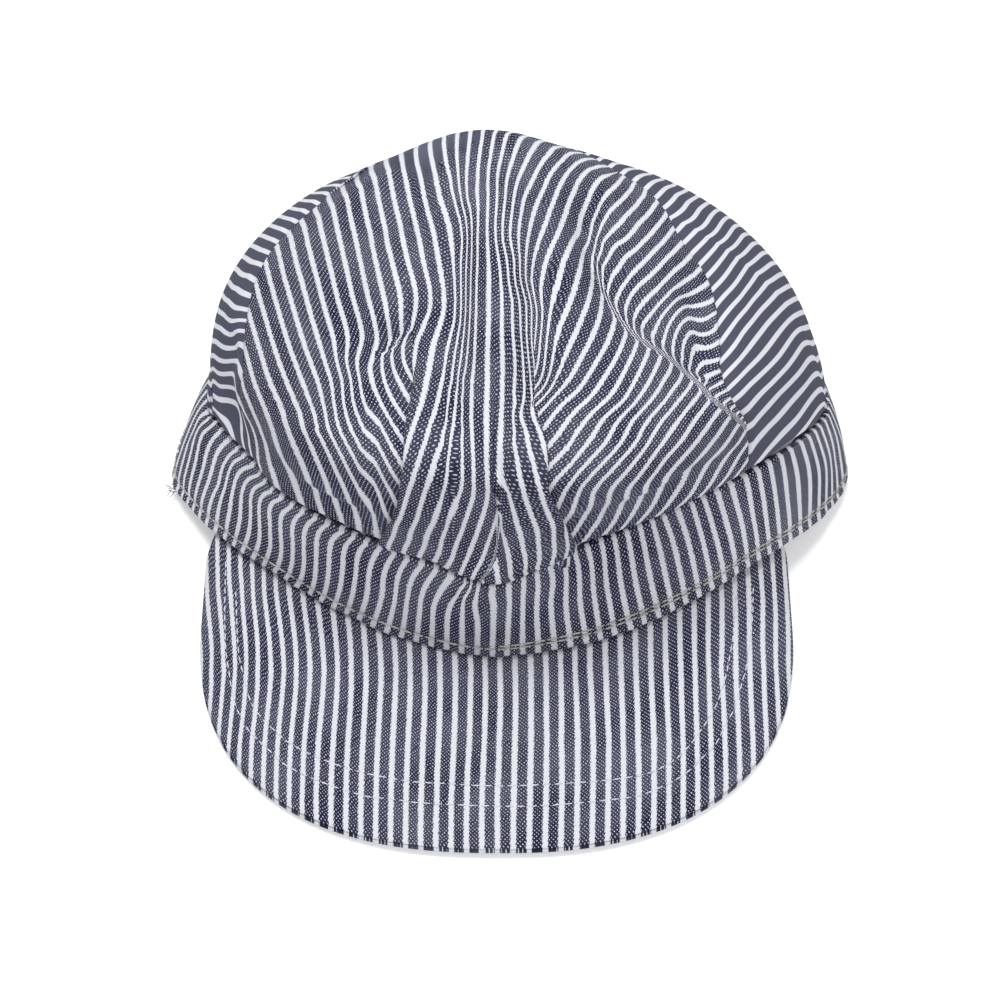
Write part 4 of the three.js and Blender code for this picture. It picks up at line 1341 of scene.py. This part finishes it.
def cloth_places(points, across, part=slice(None)):
    """Places in the cloth in millimetres: across the stripes, up the cloth, then along its two threads."""
    sideways = np.linalg.norm(np.gradient(points, axis=1), axis=2)
    upwards = np.linalg.norm(np.gradient(points, axis=0), axis=2)
    turn = math.atan2((np.gradient(across, axis=0) / upwards)[:, part].mean(),
                      (np.gradient(across, axis=1) / sideways)[:, part].mean())
    walk = np.cumsum(sideways, axis=1)
    walk = walk - walk[:, part].mean(axis=1, keepdims=True)
    climb = arc_up(points)
    return np.stack([across, climb, walk * math.cos(turn) + climb * math.sin(turn),
                     climb * math.cos(turn) - walk * math.sin(turn)], axis=-1)


def columns_of(parts, k):
    """Numbers of the columns in the k-th part of the front piece."""
    start = sum(len(part) for part in parts[:k])
    return np.arange(start, start + len(parts[k]))


def crease_and_stripes(sheet, points, normals, disc, allowed):
    """Height of a sheet's crease and the sheet's stripe numbers, which change over at the crease."""
    give, way, crease, *charts = sheet
    numbers = []
    for chart in charts:
        placed = chart_on_surface(chart_points(*chart), points, normals, disc, allowed, LEAST_FACING)
        numbers.append(stripe_numbers(placed, disc, give))
    line = chart_on_surface(line_chart(crease), points, normals, disc, allowed)[:, :2]
    side = way * side_of_line(disc, line)
    near = np.exp(-((side / CREASE_REACH) ** 2)) * smooth(*CREASE_ENDS, beyond_ends(disc, line))
    height = near * blend_of(*CREASE_HEIGHTS, smooth(-CREASE_STEP, CREASE_STEP, side))
    return height, blend_of(*numbers, smooth(-STRIPE_STEP, STRIPE_STEP, side))


def join_sheets(sheets, s, left_line, right_line):
    """Stripe numbers of the three sheets, which become one cloth above the pleats."""
    left_end = smooth(*LEFT_PLEAT_ENDS, left_line)[:, None]
    right_end = smooth(*RIGHT_PLEAT_ENDS, right_line)[:, None]
    left_mix = smooth(-SHEET_MIX, SHEET_MIX, s - ZONES_AT[1])[None, :]
    right_mix = smooth(-SHEET_MIX, SHEET_MIX, s - ZONES_AT[2])[None, :]
    joined = blend_of(blend_of(sheets[0], sheets[1], left_mix), sheets[2], right_mix)
    both = left_end * (1 - right_mix) + right_end * right_mix
    return [blend_of(sheet, joined, both) for sheet in sheets]


def crown_front(settings):
    """The front piece: folds and pleats first, then stripes from the charts, then the cloth."""
    parts = crown_columns()
    s = np.concatenate(parts)
    disc = front_plane(s, np.linspace(0, 1, FRONT_ROWS))
    flat, outward = folded_crown(disc)
    up = 1 - np.hypot(disc[..., 0], disc[..., 1])
    left_columns, right_columns = columns_of(parts, 1), columns_of(parts, 3)
    left_line, right_line = (up[:, np.argmin(np.abs(s - at))] for at in ZONES_AT[1:3])
    laid = lay_pleat(flat, outward, left_columns, s, ZONES_AT[1], 1, left_line)
    laid = lay_pleat(laid, outward, right_columns, s, ZONES_AT[2], -1, right_line)
    wrinkle = wrinkles(up.shape, *FRONT_WRINKLES) * smooth(*FRONT_WRINKLES_BEGIN, up)
    laid = laid + outward * wrinkle[..., None]
    normals = grid_normals(laid)
    zone = np.zeros(len(s) - 1, dtype=int)
    zone[left_columns[PLEAT_EDGE]:] = 1
    zone[right_columns[-1 - PLEAT_EDGE]:] = 2
    column = np.arange(len(s))
    in_reach = (
        column <= left_columns[PLEAT_MARGIN],
        (column >= left_columns[PLEAT_EDGE + 2]) & (column <= right_columns[-3 - PLEAT_EDGE]),
        column >= right_columns[-1 - PLEAT_MARGIN],
    )
    unpleated = (np.minimum(left_line, right_line) > UNPLEATED_FROM)[:, None]
    points = laid
    sheets = []
    for reach, sheet in zip(in_reach, FRONT_SHEETS):
        height, numbers = crease_and_stripes(sheet, laid, normals, disc, unpleated | reach[None, :])
        points = points + outward * height[..., None]
        sheets.append(numbers)
    pitch = settings.stripe_pitch / MM
    own_columns = (s < ZONES_AT[1], (s > ZONES_AT[1]) & (s < ZONES_AT[2]), s > ZONES_AT[2])
    cloths = [
        cloth_places(flat, numbers * pitch, part)
        for numbers, part in zip(join_sheets(sheets, s, left_line, right_line), own_columns)
    ]
    material = hickory_cloth("Crown cloth", settings)
    piece = cloth_sheet("crown_front_cloth", points, settings.crown_wall / MM, cloths, zone, material)
    dress(piece, "crown_cloth", "crown_front")
    return piece


def seam_line(count):
    """The ear-to-ear seam on the disc, from the band at the +X side over the back to the -X side."""
    right = line_of(RIGHT_SEAM, np.linspace(0, 1, SEAM_SIDE_POINTS))
    top = front_plane(np.linspace(1, 0, SEAM_TOP_POINTS), np.array([1.0]))[0]
    left = line_of(LEFT_SEAM, np.linspace(1, 0, SEAM_SIDE_POINTS))
    line = np.concatenate([right, top[1:-1], left])
    run = run_along(line)
    even = np.linspace(0, run[-1], count)
    return np.stack([np.interp(even, run, line[:, k]) for k in (0, 1)], axis=-1)


def rear_stripes(points, disc):
    """Stripe number over the rear piece: charts at its two ends and even stripes at the back."""
    normals = grid_normals(points)
    right = chart_on_surface(chart_points((), LINES_REAR_RIGHT), points, normals, disc, True, LEAST_FACING)
    left = chart_on_surface(chart_points((), LINES_REAR_LEFT), points, normals, disc, True, REAR_LEFT_FACING)
    left[:, 2] = REAR_LEFT_NUMBER - left[:, 2]
    behind = [
        (math.sin(turn) * away, -math.cos(turn) * away,
         REAR_MIDDLE_NUMBER + REAR_STRIPES_ACROSS * away * math.sin(turn))
        for turn in np.radians(BEHIND_TURNS) for away in BEHIND_AWAY
    ]
    return stripe_numbers(np.concatenate([right, left, behind]), disc, REAR_GIVE)


def crown_rear(settings):
    hem = disc_of(np.linspace(*REAR_TURNS, REAR_COLUMNS), 0)
    t = np.linspace(0, REAR_LAP, REAR_ROWS)[:, None]
    disc = blend_of(hem[None], seam_line(REAR_COLUMNS)[None], t[..., None])
    points, outward = folded_crown(disc)
    under = smooth(*REAR_UNDER_BEGINS, t) * REAR_UNDER
    wrinkle = wrinkles(points.shape[:2], *REAR_WRINKLES) * smooth(*REAR_WRINKLES_BEGIN, t)
    points = points + outward * (wrinkle - under)[..., None]
    cloth = cloth_places(points, rear_stripes(points, disc) * (settings.stripe_pitch / MM))
    material = hickory_cloth("Rear crown cloth", settings)
    zone = np.zeros(REAR_COLUMNS - 1, dtype=int)
    piece = cloth_sheet("crown_rear_cloth", points, settings.crown_wall / MM, [cloth], zone, material)
    dress(piece, "crown_cloth", "crown_rear")
    return piece


def band_section():
    """The folded band cut across: shares of its width and depths inwards, once round."""
    low, high = BAND_FLAT
    roll = np.linspace(0, math.pi, BAND_ROLL_ROWS + 2)[1:-1]
    half = BAND_WALL / 2
    share = np.concatenate([
        np.linspace(low, high, BAND_OUTER_ROWS), high + BAND_ROLL * np.sin(roll),
        np.linspace(high, low, BAND_INNER_ROWS), low - BAND_ROLL * np.sin(roll),
    ])
    depth = np.concatenate([
        np.zeros(BAND_OUTER_ROWS), half * (1 - np.cos(roll)),
        np.full(BAND_INNER_ROWS, BAND_WALL), half * (1 + np.cos(roll)),
    ])
    return share, depth


def band_press(share, depth):
    """How far the band's outer side is pressed in along its stitching, less its waves and puckers."""
    column = np.arange(BAND_COLUMNS + 1)
    outer = smooth(BAND_WALL, 0, depth)[:, None]
    wave = patchy((len(share), len(column)), *BAND_WAVES) * BAND_WAVE
    pucker = patchy((1, len(column)), *BAND_PUCKERS)[0] * BAND_PUCKER
    ends = smooth(0, BAND_END_COLUMNS, column) * smooth(BAND_COLUMNS, BAND_COLUMNS - BAND_END_COLUMNS, column)
    stitch = np.exp(-(((share - BAND_STITCH_AT) / BAND_STITCH_REACH) ** 2))[:, None]
    foot = smooth(*BAND_FOOT, share)[:, None] * pucker[None, :]
    return outer * (BAND_STITCH_DEPTH * stitch - (wave + foot) * ends[None, :])


def band_stripes(outside, share, u, pitch):
    """Stripe number over the band: the chart in front, even stripes beyond it, and the same inside."""
    plane = points_of(u[None, :], share[:BAND_OUTER_ROWS, None] * BAND_WIDTH) / PLANE_UNIT
    placed = chart_on_surface(chart_points((), LINES_BAND), outside, grid_normals(outside), plane)
    beyond = []
    for end, way in ((placed[:, 0].argmin(), -1), (placed[:, 0].argmax(), 1)):
        place, _, number = placed[end]
        beyond += [
            (place + way * gap, height, number + way * gap * PLANE_UNIT / pitch)
            for gap in BEYOND_GAPS for height in BEYOND_HEIGHTS
        ]
    numbers = stripe_numbers(np.concatenate([placed, beyond]), plane)
    others = len(share) - BAND_OUTER_ROWS
    numbers = np.concatenate([numbers, np.repeat(numbers[-1:], others, axis=0), numbers[:1]])
    last = BAND_OUTER_ROWS - 1
    inside = last - np.round(np.linspace(0, last, BAND_INNER_ROWS + BAND_ROLL_ROWS)).astype(int)
    numbers[BAND_OUTER_ROWS + BAND_ROLL_ROWS:-1] = numbers[inside]
    return numbers


def band(settings):
    turn = np.linspace(-math.pi, math.pi, BAND_COLUMNS + 1)
    turn = turn - BAND_CROWDING * np.sin(turn)
    share, depth = band_section()
    points = band_point(turn[None, :], share[:, None], depth[:, None] + band_press(share, depth))
    points[:, :, 2] = np.maximum(points[:, :, 2], FLOOR_GAP)
    u = run_along(band_point(turn, 0.5, 0))
    pitch = settings.stripe_pitch / MM
    numbers = band_stripes(points[:BAND_OUTER_ROWS], share, u, pitch)
    length = np.concatenate([share * BAND_WIDTH, [share[0] * BAND_WIDTH]])[:, None]
    cloth = np.stack(np.broadcast_arrays(numbers * pitch, length, u[None, :], length), axis=-1)
    piece = cloth_ring("band_cloth", points, cloth, hickory_cloth("Band cloth", settings))
    dress(piece, "band_cloth", "band")
    return piece


def visor_edge(across):
    """The visor's edge: straight sides back from its shoulders, and a rounded front."""
    side = np.where(across < 0.5, -1, 1)
    inward = np.minimum(across, 1 - across)
    edge_x = VISOR_ASIDE + side * VISOR_HALF_WIDTH
    side_y = -blend_of(VISOR_SIDE_START, VISOR_SHOULDER, inward / VISOR_SIDE_SHARE)
    turn = np.clip((inward - VISOR_SIDE_SHARE) / (0.5 - VISOR_SIDE_SHARE), 0, 1)
    power = 2 / VISOR_ROUNDNESS
    angle = turn * math.pi / 2
    front_x = VISOR_ASIDE + side * VISOR_HALF_WIDTH * np.abs(np.cos(angle)) ** power
    front_y = -VISOR_SHOULDER - (VISOR_FRONT - VISOR_SHOULDER) * np.sin(angle) ** power
    rise = VISOR_FRONT_RISE * np.sin(angle) ** 2
    at_side = inward < VISOR_SIDE_SHARE
    return points_of(
        np.where(at_side, edge_x, front_x), np.where(at_side, side_y, front_y), np.where(at_side, 0, rise),
    )


def visor_point(across, out, depth):
    """Place on the visor: across runs along its edge and out from inside the band to the edge."""
    across, out, depth = np.broadcast_arrays(across, out, depth)
    turn = blend_of(VISOR_LEFT_TURN, VISOR_RIGHT_TURN, across) * DEGREE
    foot = band_point(turn, 0, BAND_WALL + VISOR_TUCK)
    edge = visor_edge(across)
    thickness = 2 * VISOR_CLOTH + CLEARANCE
    plan = blend_of(foot, edge, out[..., None])
    fall = smooth(*VISOR_FALL, out)
    top = blend_of(foot[..., 2] - CLEARANCE, edge[..., 2] + thickness, out)
    belly = VISOR_BELLY * np.sin(math.pi * out) * fall
    return points_of(plan[..., 0], plan[..., 1], top + belly - depth)


def visor_rows(count):
    """Rows from inside the band to the edge, closer together at the edge."""
    even = np.linspace(0, 1, count)
    return 1 - (1 - even) ** VISOR_CROWDING


def visor_grid():
    """Even grid over the visor: places across it, and places out from the band."""
    return np.linspace(0, 1, VISOR_COLUMNS)[None, :], visor_rows(VISOR_ROWS)[:, None]


def visor(settings):
    """The visor's two cloths, with the same stripes in both."""
    across, out = visor_grid()
    top = visor_point(across, out, 0)
    plane = top[..., :2] / PLANE_UNIT
    placed = chart_on_surface(chart_points(ROWS_VISOR), top, -grid_normals(top), plane)
    u = stripe_numbers(placed, plane) * (settings.stripe_pitch / MM)
    material = hickory_cloth("Visor cloth", settings)
    zone = np.zeros(VISOR_COLUMNS - 1, dtype=int)
    pieces = []
    for name, node, depth, seed, roll_share, wave_share, lowest in VISOR_CLOTHS:
        points = visor_point(across, out, depth)
        v = arc_up(points)
        cloth = np.stack([u, v, u, v], axis=-1)
        edge = np.linalg.norm(points - points[-1:], axis=-1)
        roll = np.exp(-edge / VISOR_ROLL_REACH)
        fine = patchy(edge.shape, *VISOR_FINE_WAVES) * VISOR_FINE_WAVE * np.exp(-edge / VISOR_FINE_REACH)
        wave = patchy(edge.shape, VISOR_WAVE_CELL, seed) * VISOR_WAVE + fine
        points[..., 2] += (roll * roll_share + wave * wave_share) * smooth(*VISOR_WAVES_BEGIN, out)
        points[..., 2] = np.maximum(points[..., 2], FLOOR_GAP + lowest)
        piece = cloth_sheet(name, points[::-1], VISOR_WALL, [cloth[::-1]], zone, material)
        dress(piece, "visor_cloth", node)
        pieces.append(piece)
    return pieces


def band_seam(height, start, end, pitch):
    """Stitches along the band at a height above its lower edge, from one turn to another."""
    turn = np.radians(np.linspace(start, end, BAND_SEAM_POINTS))
    path = band_point(turn, height / BAND_WIDTH, -BAND_STITCH_PROUD)
    out = opening_outward(turn)
    normals = unit(points_of(out[:, 0], out[:, 1], round_the_head(2, turn)))
    return along_path(path, normals, pitch)


def visor_seam(places, points, normals, pitch):
    """Stitches over the visor's surface along a line through places in the picture."""
    plane = chart_on_surface(line_chart(places), points, normals, points[..., :2] / PLANE_UNIT)[:, :2]
    plane = plane * PLANE_UNIT
    run = run_along(plane)
    flat = smooth_path(plane, run, np.linspace(0, run[-1], VISOR_SEAM_POINTS))
    away = np.linalg.norm(points[None, ..., :2] - flat[:, None, None], axis=-1)
    nearest = away.reshape(VISOR_SEAM_POINTS, -1).argmin(axis=1)
    near = points.reshape(-1, 3)[nearest]
    normal = normals.reshape(-1, 3)[nearest]
    gap = flat - near[:, :2]
    height = near[:, 2] - (normal[:, 0] * gap[:, 0] + normal[:, 1] * gap[:, 1]) / normal[:, 2]
    path = points_of(flat[:, 0], flat[:, 1], height) + normal * VISOR_STITCH_PROUD
    return along_path(path, normal, pitch)


def topstitching(settings):
    """One piece for the band's rows of stitches and one for the visor's."""
    pitch = settings.band_stitch / MM * BAND_STITCH_PITCH
    seams = [band_seam(height, start, end, pitch) for height, start, end in BAND_SEAMS]
    thread = thread_material("Band thread", settings.band_thread)
    width = settings.thread_width
    sew("band_topstitching", "band_cloth", seams, settings.band_stitch, width, thread, BAND_SEED)
    points = visor_point(*visor_grid(), 0)
    normals = -grid_normals(points)
    pitch = settings.visor_stitch / MM * VISOR_STITCH_PITCH
    seams = [visor_seam(places, points, normals, pitch) for places in VISOR_SEAMS]
    thread = thread_material("Visor thread", settings.visor_thread)
    width = width * VISOR_THREAD_SHARE
    return sew("visor_topstitching", "visor_cloth", seams, settings.visor_stitch, width, thread, VISOR_SEED)


def loose_thread(rng, place, normal, size):
    """Rings of corners along one bent end of yarn, which gets thinner towards its tip."""
    last = LOOSE_RINGS - 1
    way = unit(normal + rng.normal(0, LOOSE_SPREAD, 3))
    bend = rng.normal(0, LOOSE_BEND, 3)
    middle = place + rng.normal(0, LOOSE_SCATTER, 3) - normal * LOOSE_ROOT
    step = size * rng.uniform(0.5, 1.0) / last
    rings = []
    for k in range(LOOSE_RINGS):
        heading = unit(way + bend * k / last)
        middle = middle + heading * step
        aside = unit(np.cross(heading, (0.2, 0.1, 1.0)))
        other = np.cross(heading, aside)
        girth = LOOSE_GIRTH * (1 - 0.5 * k / last)
        rings.append([middle + girth * (aside * a + other * b) for a, b in LOOSE_CORNERS])
    return rings


def thread_faces(first):
    """Sides and ends of the yarn whose corners are numbered from first."""
    sides = len(LOOSE_CORNERS)
    last = first + sides * (LOOSE_RINGS - 1)
    faces = [
        (a + m, a + (m + 1) % sides, a + sides + (m + 1) % sides, a + sides + m)
        for a in range(first, last, sides) for m in range(sides)
    ]
    return faces + [tuple(range(first, first + sides))[::-1], tuple(range(last, last + sides))]


def loose_threads(settings):
    """Frayed ends where the band's cloth begins to turn out of sight."""
    rng = np.random.default_rng(LOOSE_SEED)
    outside = band_outside()
    normals = grid_normals(outside)
    seen = seen_from_eye(outside)
    rings, faces = [], []
    for (x, y), count, size in LOOSE_ENDS:
        j, i = np.unravel_index(np.argmin(np.hypot(seen[..., 0] - x, seen[..., 1] - y)), seen.shape[:2])
        for _ in range(count):
            faces += thread_faces(len(rings) * len(LOOSE_CORNERS))
            rings += loose_thread(rng, outside[j, i], normals[j, i], size)
    material = thread_material("Frayed thread", settings.frayed)
    vertices = np.array(rings).reshape(-1, 3)
    faces = np.array(faces)
    piece = new_piece("frayed_threads", vertices, faces, np.zeros(faces.shape + (4,)), material)
    dress(piece, "band_cloth")
    return piece


# Settings, operators and panel

class CapClothSettings(bpy.types.PropertyGroup):
    stripe_pitch: FloatProperty(
        name="Stripe pitch", description="From one white stripe to the next",
        default=0.0044, unit="LENGTH",
    )
    white_share: FloatProperty(
        name="White share", description="White part of the stripe pitch",
        default=0.36, min=0, max=1, subtype="FACTOR",
    )
    thread_pitch: FloatProperty(
        name="Thread pitch", description="From one thread to the next",
        default=0.00055, unit="LENGTH",
    )
    crown_wall: FloatProperty(
        name="Crown cloth", description="Thickness of the crown's cloth",
        default=0.0007, unit="LENGTH",
    )
    blue: FloatVectorProperty(
        name="Blue", description="Colour of the blue yarn",
        default=linear((30, 31, 53)), subtype="COLOR", min=0, max=1,
    )
    white: FloatVectorProperty(
        name="White", description="Colour of the white yarn",
        default=linear((203, 204, 209)), subtype="COLOR", min=0, max=1,
    )
    fleck: FloatVectorProperty(
        name="Fleck", description="Colour of the pale yarn between the blue",
        default=linear((198, 201, 216)), subtype="COLOR", min=0, max=1,
    )
    band_stitch: FloatProperty(
        name="Band stitch", description="Length of a stitch on the band",
        default=0.0034, unit="LENGTH",
    )
    visor_stitch: FloatProperty(
        name="Visor stitch", description="Length of a stitch on the visor",
        default=0.0027, unit="LENGTH",
    )
    thread_width: FloatProperty(
        name="Thread", description="Thickness of the sewing thread",
        default=0.0006, unit="LENGTH",
    )
    band_thread: FloatVectorProperty(
        name="Band thread", description="Colour of the band's sewing thread",
        default=linear((176, 176, 170)), subtype="COLOR", min=0, max=1,
    )
    visor_thread: FloatVectorProperty(
        name="Visor thread", description="Colour of the visor's sewing thread",
        default=linear((214, 217, 226)), subtype="COLOR", min=0, max=1,
    )
    frayed: FloatVectorProperty(
        name="Frayed thread", description="Colour of the frayed ends",
        default=linear((112, 113, 113)), subtype="COLOR", min=0, max=1,
    )


class CapStageSettings(bpy.types.PropertyGroup):
    floor_size: FloatProperty(
        name="Floor", description="Length of the floor's side",
        default=6.0, unit="LENGTH",
    )
    floor: FloatVectorProperty(
        name="Floor colour", description="Colour of the floor",
        default=(0.86, 0.86, 0.87), subtype="COLOR", min=0, max=1,
    )
    key_power: FloatProperty(
        name="Key light", description="Power of the soft light overhead",
        default=12.5, unit="POWER",
    )


class CAP_OT_crown_front(bpy.types.Operator):
    """Make the crown's front piece with its pleats and folds"""
    bl_idname = "cap.crown_front"
    bl_label = "Crown Front"

    def execute(self, context):
        crown_front(context.scene.cap_cloth)
        return {"FINISHED"}


class CAP_OT_crown_rear(bpy.types.Operator):
    """Make the crown's rear piece behind the ear-to-ear seam"""
    bl_idname = "cap.crown_rear"
    bl_label = "Crown Rear"

    def execute(self, context):
        crown_rear(context.scene.cap_cloth)
        return {"FINISHED"}


class CAP_OT_band(bpy.types.Operator):
    """Make the folded band round the head opening"""
    bl_idname = "cap.band"
    bl_label = "Band"

    def execute(self, context):
        band(context.scene.cap_cloth)
        return {"FINISHED"}


class CAP_OT_visor(bpy.types.Operator):
    """Make the visor's upper and lower cloth"""
    bl_idname = "cap.visor"
    bl_label = "Visor"

    def execute(self, context):
        visor(context.scene.cap_cloth)
        return {"FINISHED"}


class CAP_OT_topstitching(bpy.types.Operator):
    """Sew the stitch rows of the band and the visor"""
    bl_idname = "cap.topstitching"
    bl_label = "Topstitching"

    def execute(self, context):
        topstitching(context.scene.cap_cloth)
        return {"FINISHED"}


class CAP_OT_loose_threads(bpy.types.Operator):
    """Make the frayed threads at the band's ends"""
    bl_idname = "cap.loose_threads"
    bl_label = "Loose Threads"

    def execute(self, context):
        loose_threads(context.scene.cap_cloth)
        return {"FINISHED"}


class CAP_OT_stage(bpy.types.Operator):
    """Set the pale floor, the soft lights and the camera"""
    bl_idname = "cap.stage"
    bl_label = "Stage"

    def execute(self, context):
        set_stage(context.scene.cap_stage)
        return {"FINISHED"}


def make_floor(settings):
    """Pale floor just under the cap."""
    half = settings.floor_size / 2
    mesh = bpy.data.meshes.new("floor")
    corners = [(x * half, y * half, -FLOOR_DROP) for x, y in ((-1, -1), (1, -1), (1, 1), (-1, 1))]
    mesh.from_pydata(corners, [], [(0, 1, 2, 3)])
    material = bpy.data.materials.new("Floor")
    material.use_nodes = True
    shader = material.node_tree.nodes["Principled BSDF"]
    shader.inputs["Base Color"].default_value = (*settings.floor, 1)
    shader.inputs["Roughness"].default_value = 0.9
    shader.inputs["Specular IOR Level"].default_value = 0.1
    shader.inputs["Emission Color"].default_value = (1, 1, 1, 1)
    shader.inputs["Emission Strength"].default_value = FLOOR_GLOW
    mesh.materials.append(material)
    floor = bpy.data.objects.new("floor", mesh)
    bpy.context.scene.collection.objects.link(floor)


def make_lights(settings):
    """Even light from all sides, a soft light overhead and a weaker one in front."""
    scene = bpy.context.scene
    world = bpy.data.worlds.new("Soft room")
    world.use_nodes = True
    background = world.node_tree.nodes["Background"]
    background.inputs[0].default_value = (0.97, 0.98, 1, 1)
    background.inputs[1].default_value = ROOM_LIGHT
    scene.world = world
    for name, place, size, share in LIGHTS:
        lamp = bpy.data.lights.new(name, "AREA")
        lamp.shape = "DISK"
        lamp.size = size
        lamp.energy = settings.key_power * share
        source = bpy.data.objects.new(name, lamp)
        aim = np.array(LIGHTS_AIM) - place
        down = math.acos(-aim[2] / np.linalg.norm(aim))
        source.location = place
        source.rotation_euler = (down, 0, math.atan2(aim[1], aim[0]) - math.pi / 2)
        scene.collection.objects.link(source)


def make_camera():
    """Camera at the eye that the stripe charts were read from."""
    scene = bpy.context.scene
    lens = bpy.data.cameras.new("camera")
    lens.sensor_width = SENSOR_WIDTH
    lens.lens = SENSOR_WIDTH * EYE_ZOOM / (2 * PICTURE_MIDDLE)
    lens.clip_start = 0.05
    camera = bpy.data.objects.new("camera", lens)
    camera.location = (EYE + cap_shift()) * MM
    camera.rotation_euler = (math.pi / 2 - EYE_HEIGHT, 0, 0)
    scene.collection.objects.link(camera)
    scene.camera = camera


def set_stage(settings):
    make_floor(settings)
    make_lights(settings)
    make_camera()
    bpy.context.scene.view_settings.view_transform = "Standard"


class CAP_PT_panel(bpy.types.Panel):
    """Sizes, colours and pieces of the cap"""
    bl_idname = "CAP_PT_panel"
    bl_label = "Railroad Cap"
    bl_space_type = "VIEW_3D"
    bl_region_type = "UI"
    bl_category = "Cap"

    def draw(self, context):
        layout = self.layout
        for settings in (context.scene.cap_cloth, context.scene.cap_stage):
            box = layout.box()
            for key in settings.__annotations__:
                box.prop(settings, key)
        for operator in OPERATORS:
            layout.operator(operator.bl_idname)


OPERATORS = (CAP_OT_crown_front, CAP_OT_crown_rear, CAP_OT_band, CAP_OT_visor, CAP_OT_topstitching,
             CAP_OT_loose_threads, CAP_OT_stage)
CLASSES = (CapClothSettings, CapStageSettings, *OPERATORS, CAP_PT_panel)


def register():
    for each in CLASSES:
        bpy.utils.register_class(each)
    bpy.types.Scene.cap_cloth = PointerProperty(type=CapClothSettings)
    bpy.types.Scene.cap_stage = PointerProperty(type=CapStageSettings)


def unregister():
    del bpy.types.Scene.cap_stage
    del bpy.types.Scene.cap_cloth
    for each in reversed(CLASSES):
        bpy.utils.unregister_class(each)


def main():
    register()
    bpy.ops.cap.crown_front()
    bpy.ops.cap.crown_rear()
    bpy.ops.cap.band()
    bpy.ops.cap.visor()
    bpy.ops.cap.topstitching()
    bpy.ops.cap.loose_threads()
    bpy.ops.cap.stage()


if __name__ == "__main__":
    main()
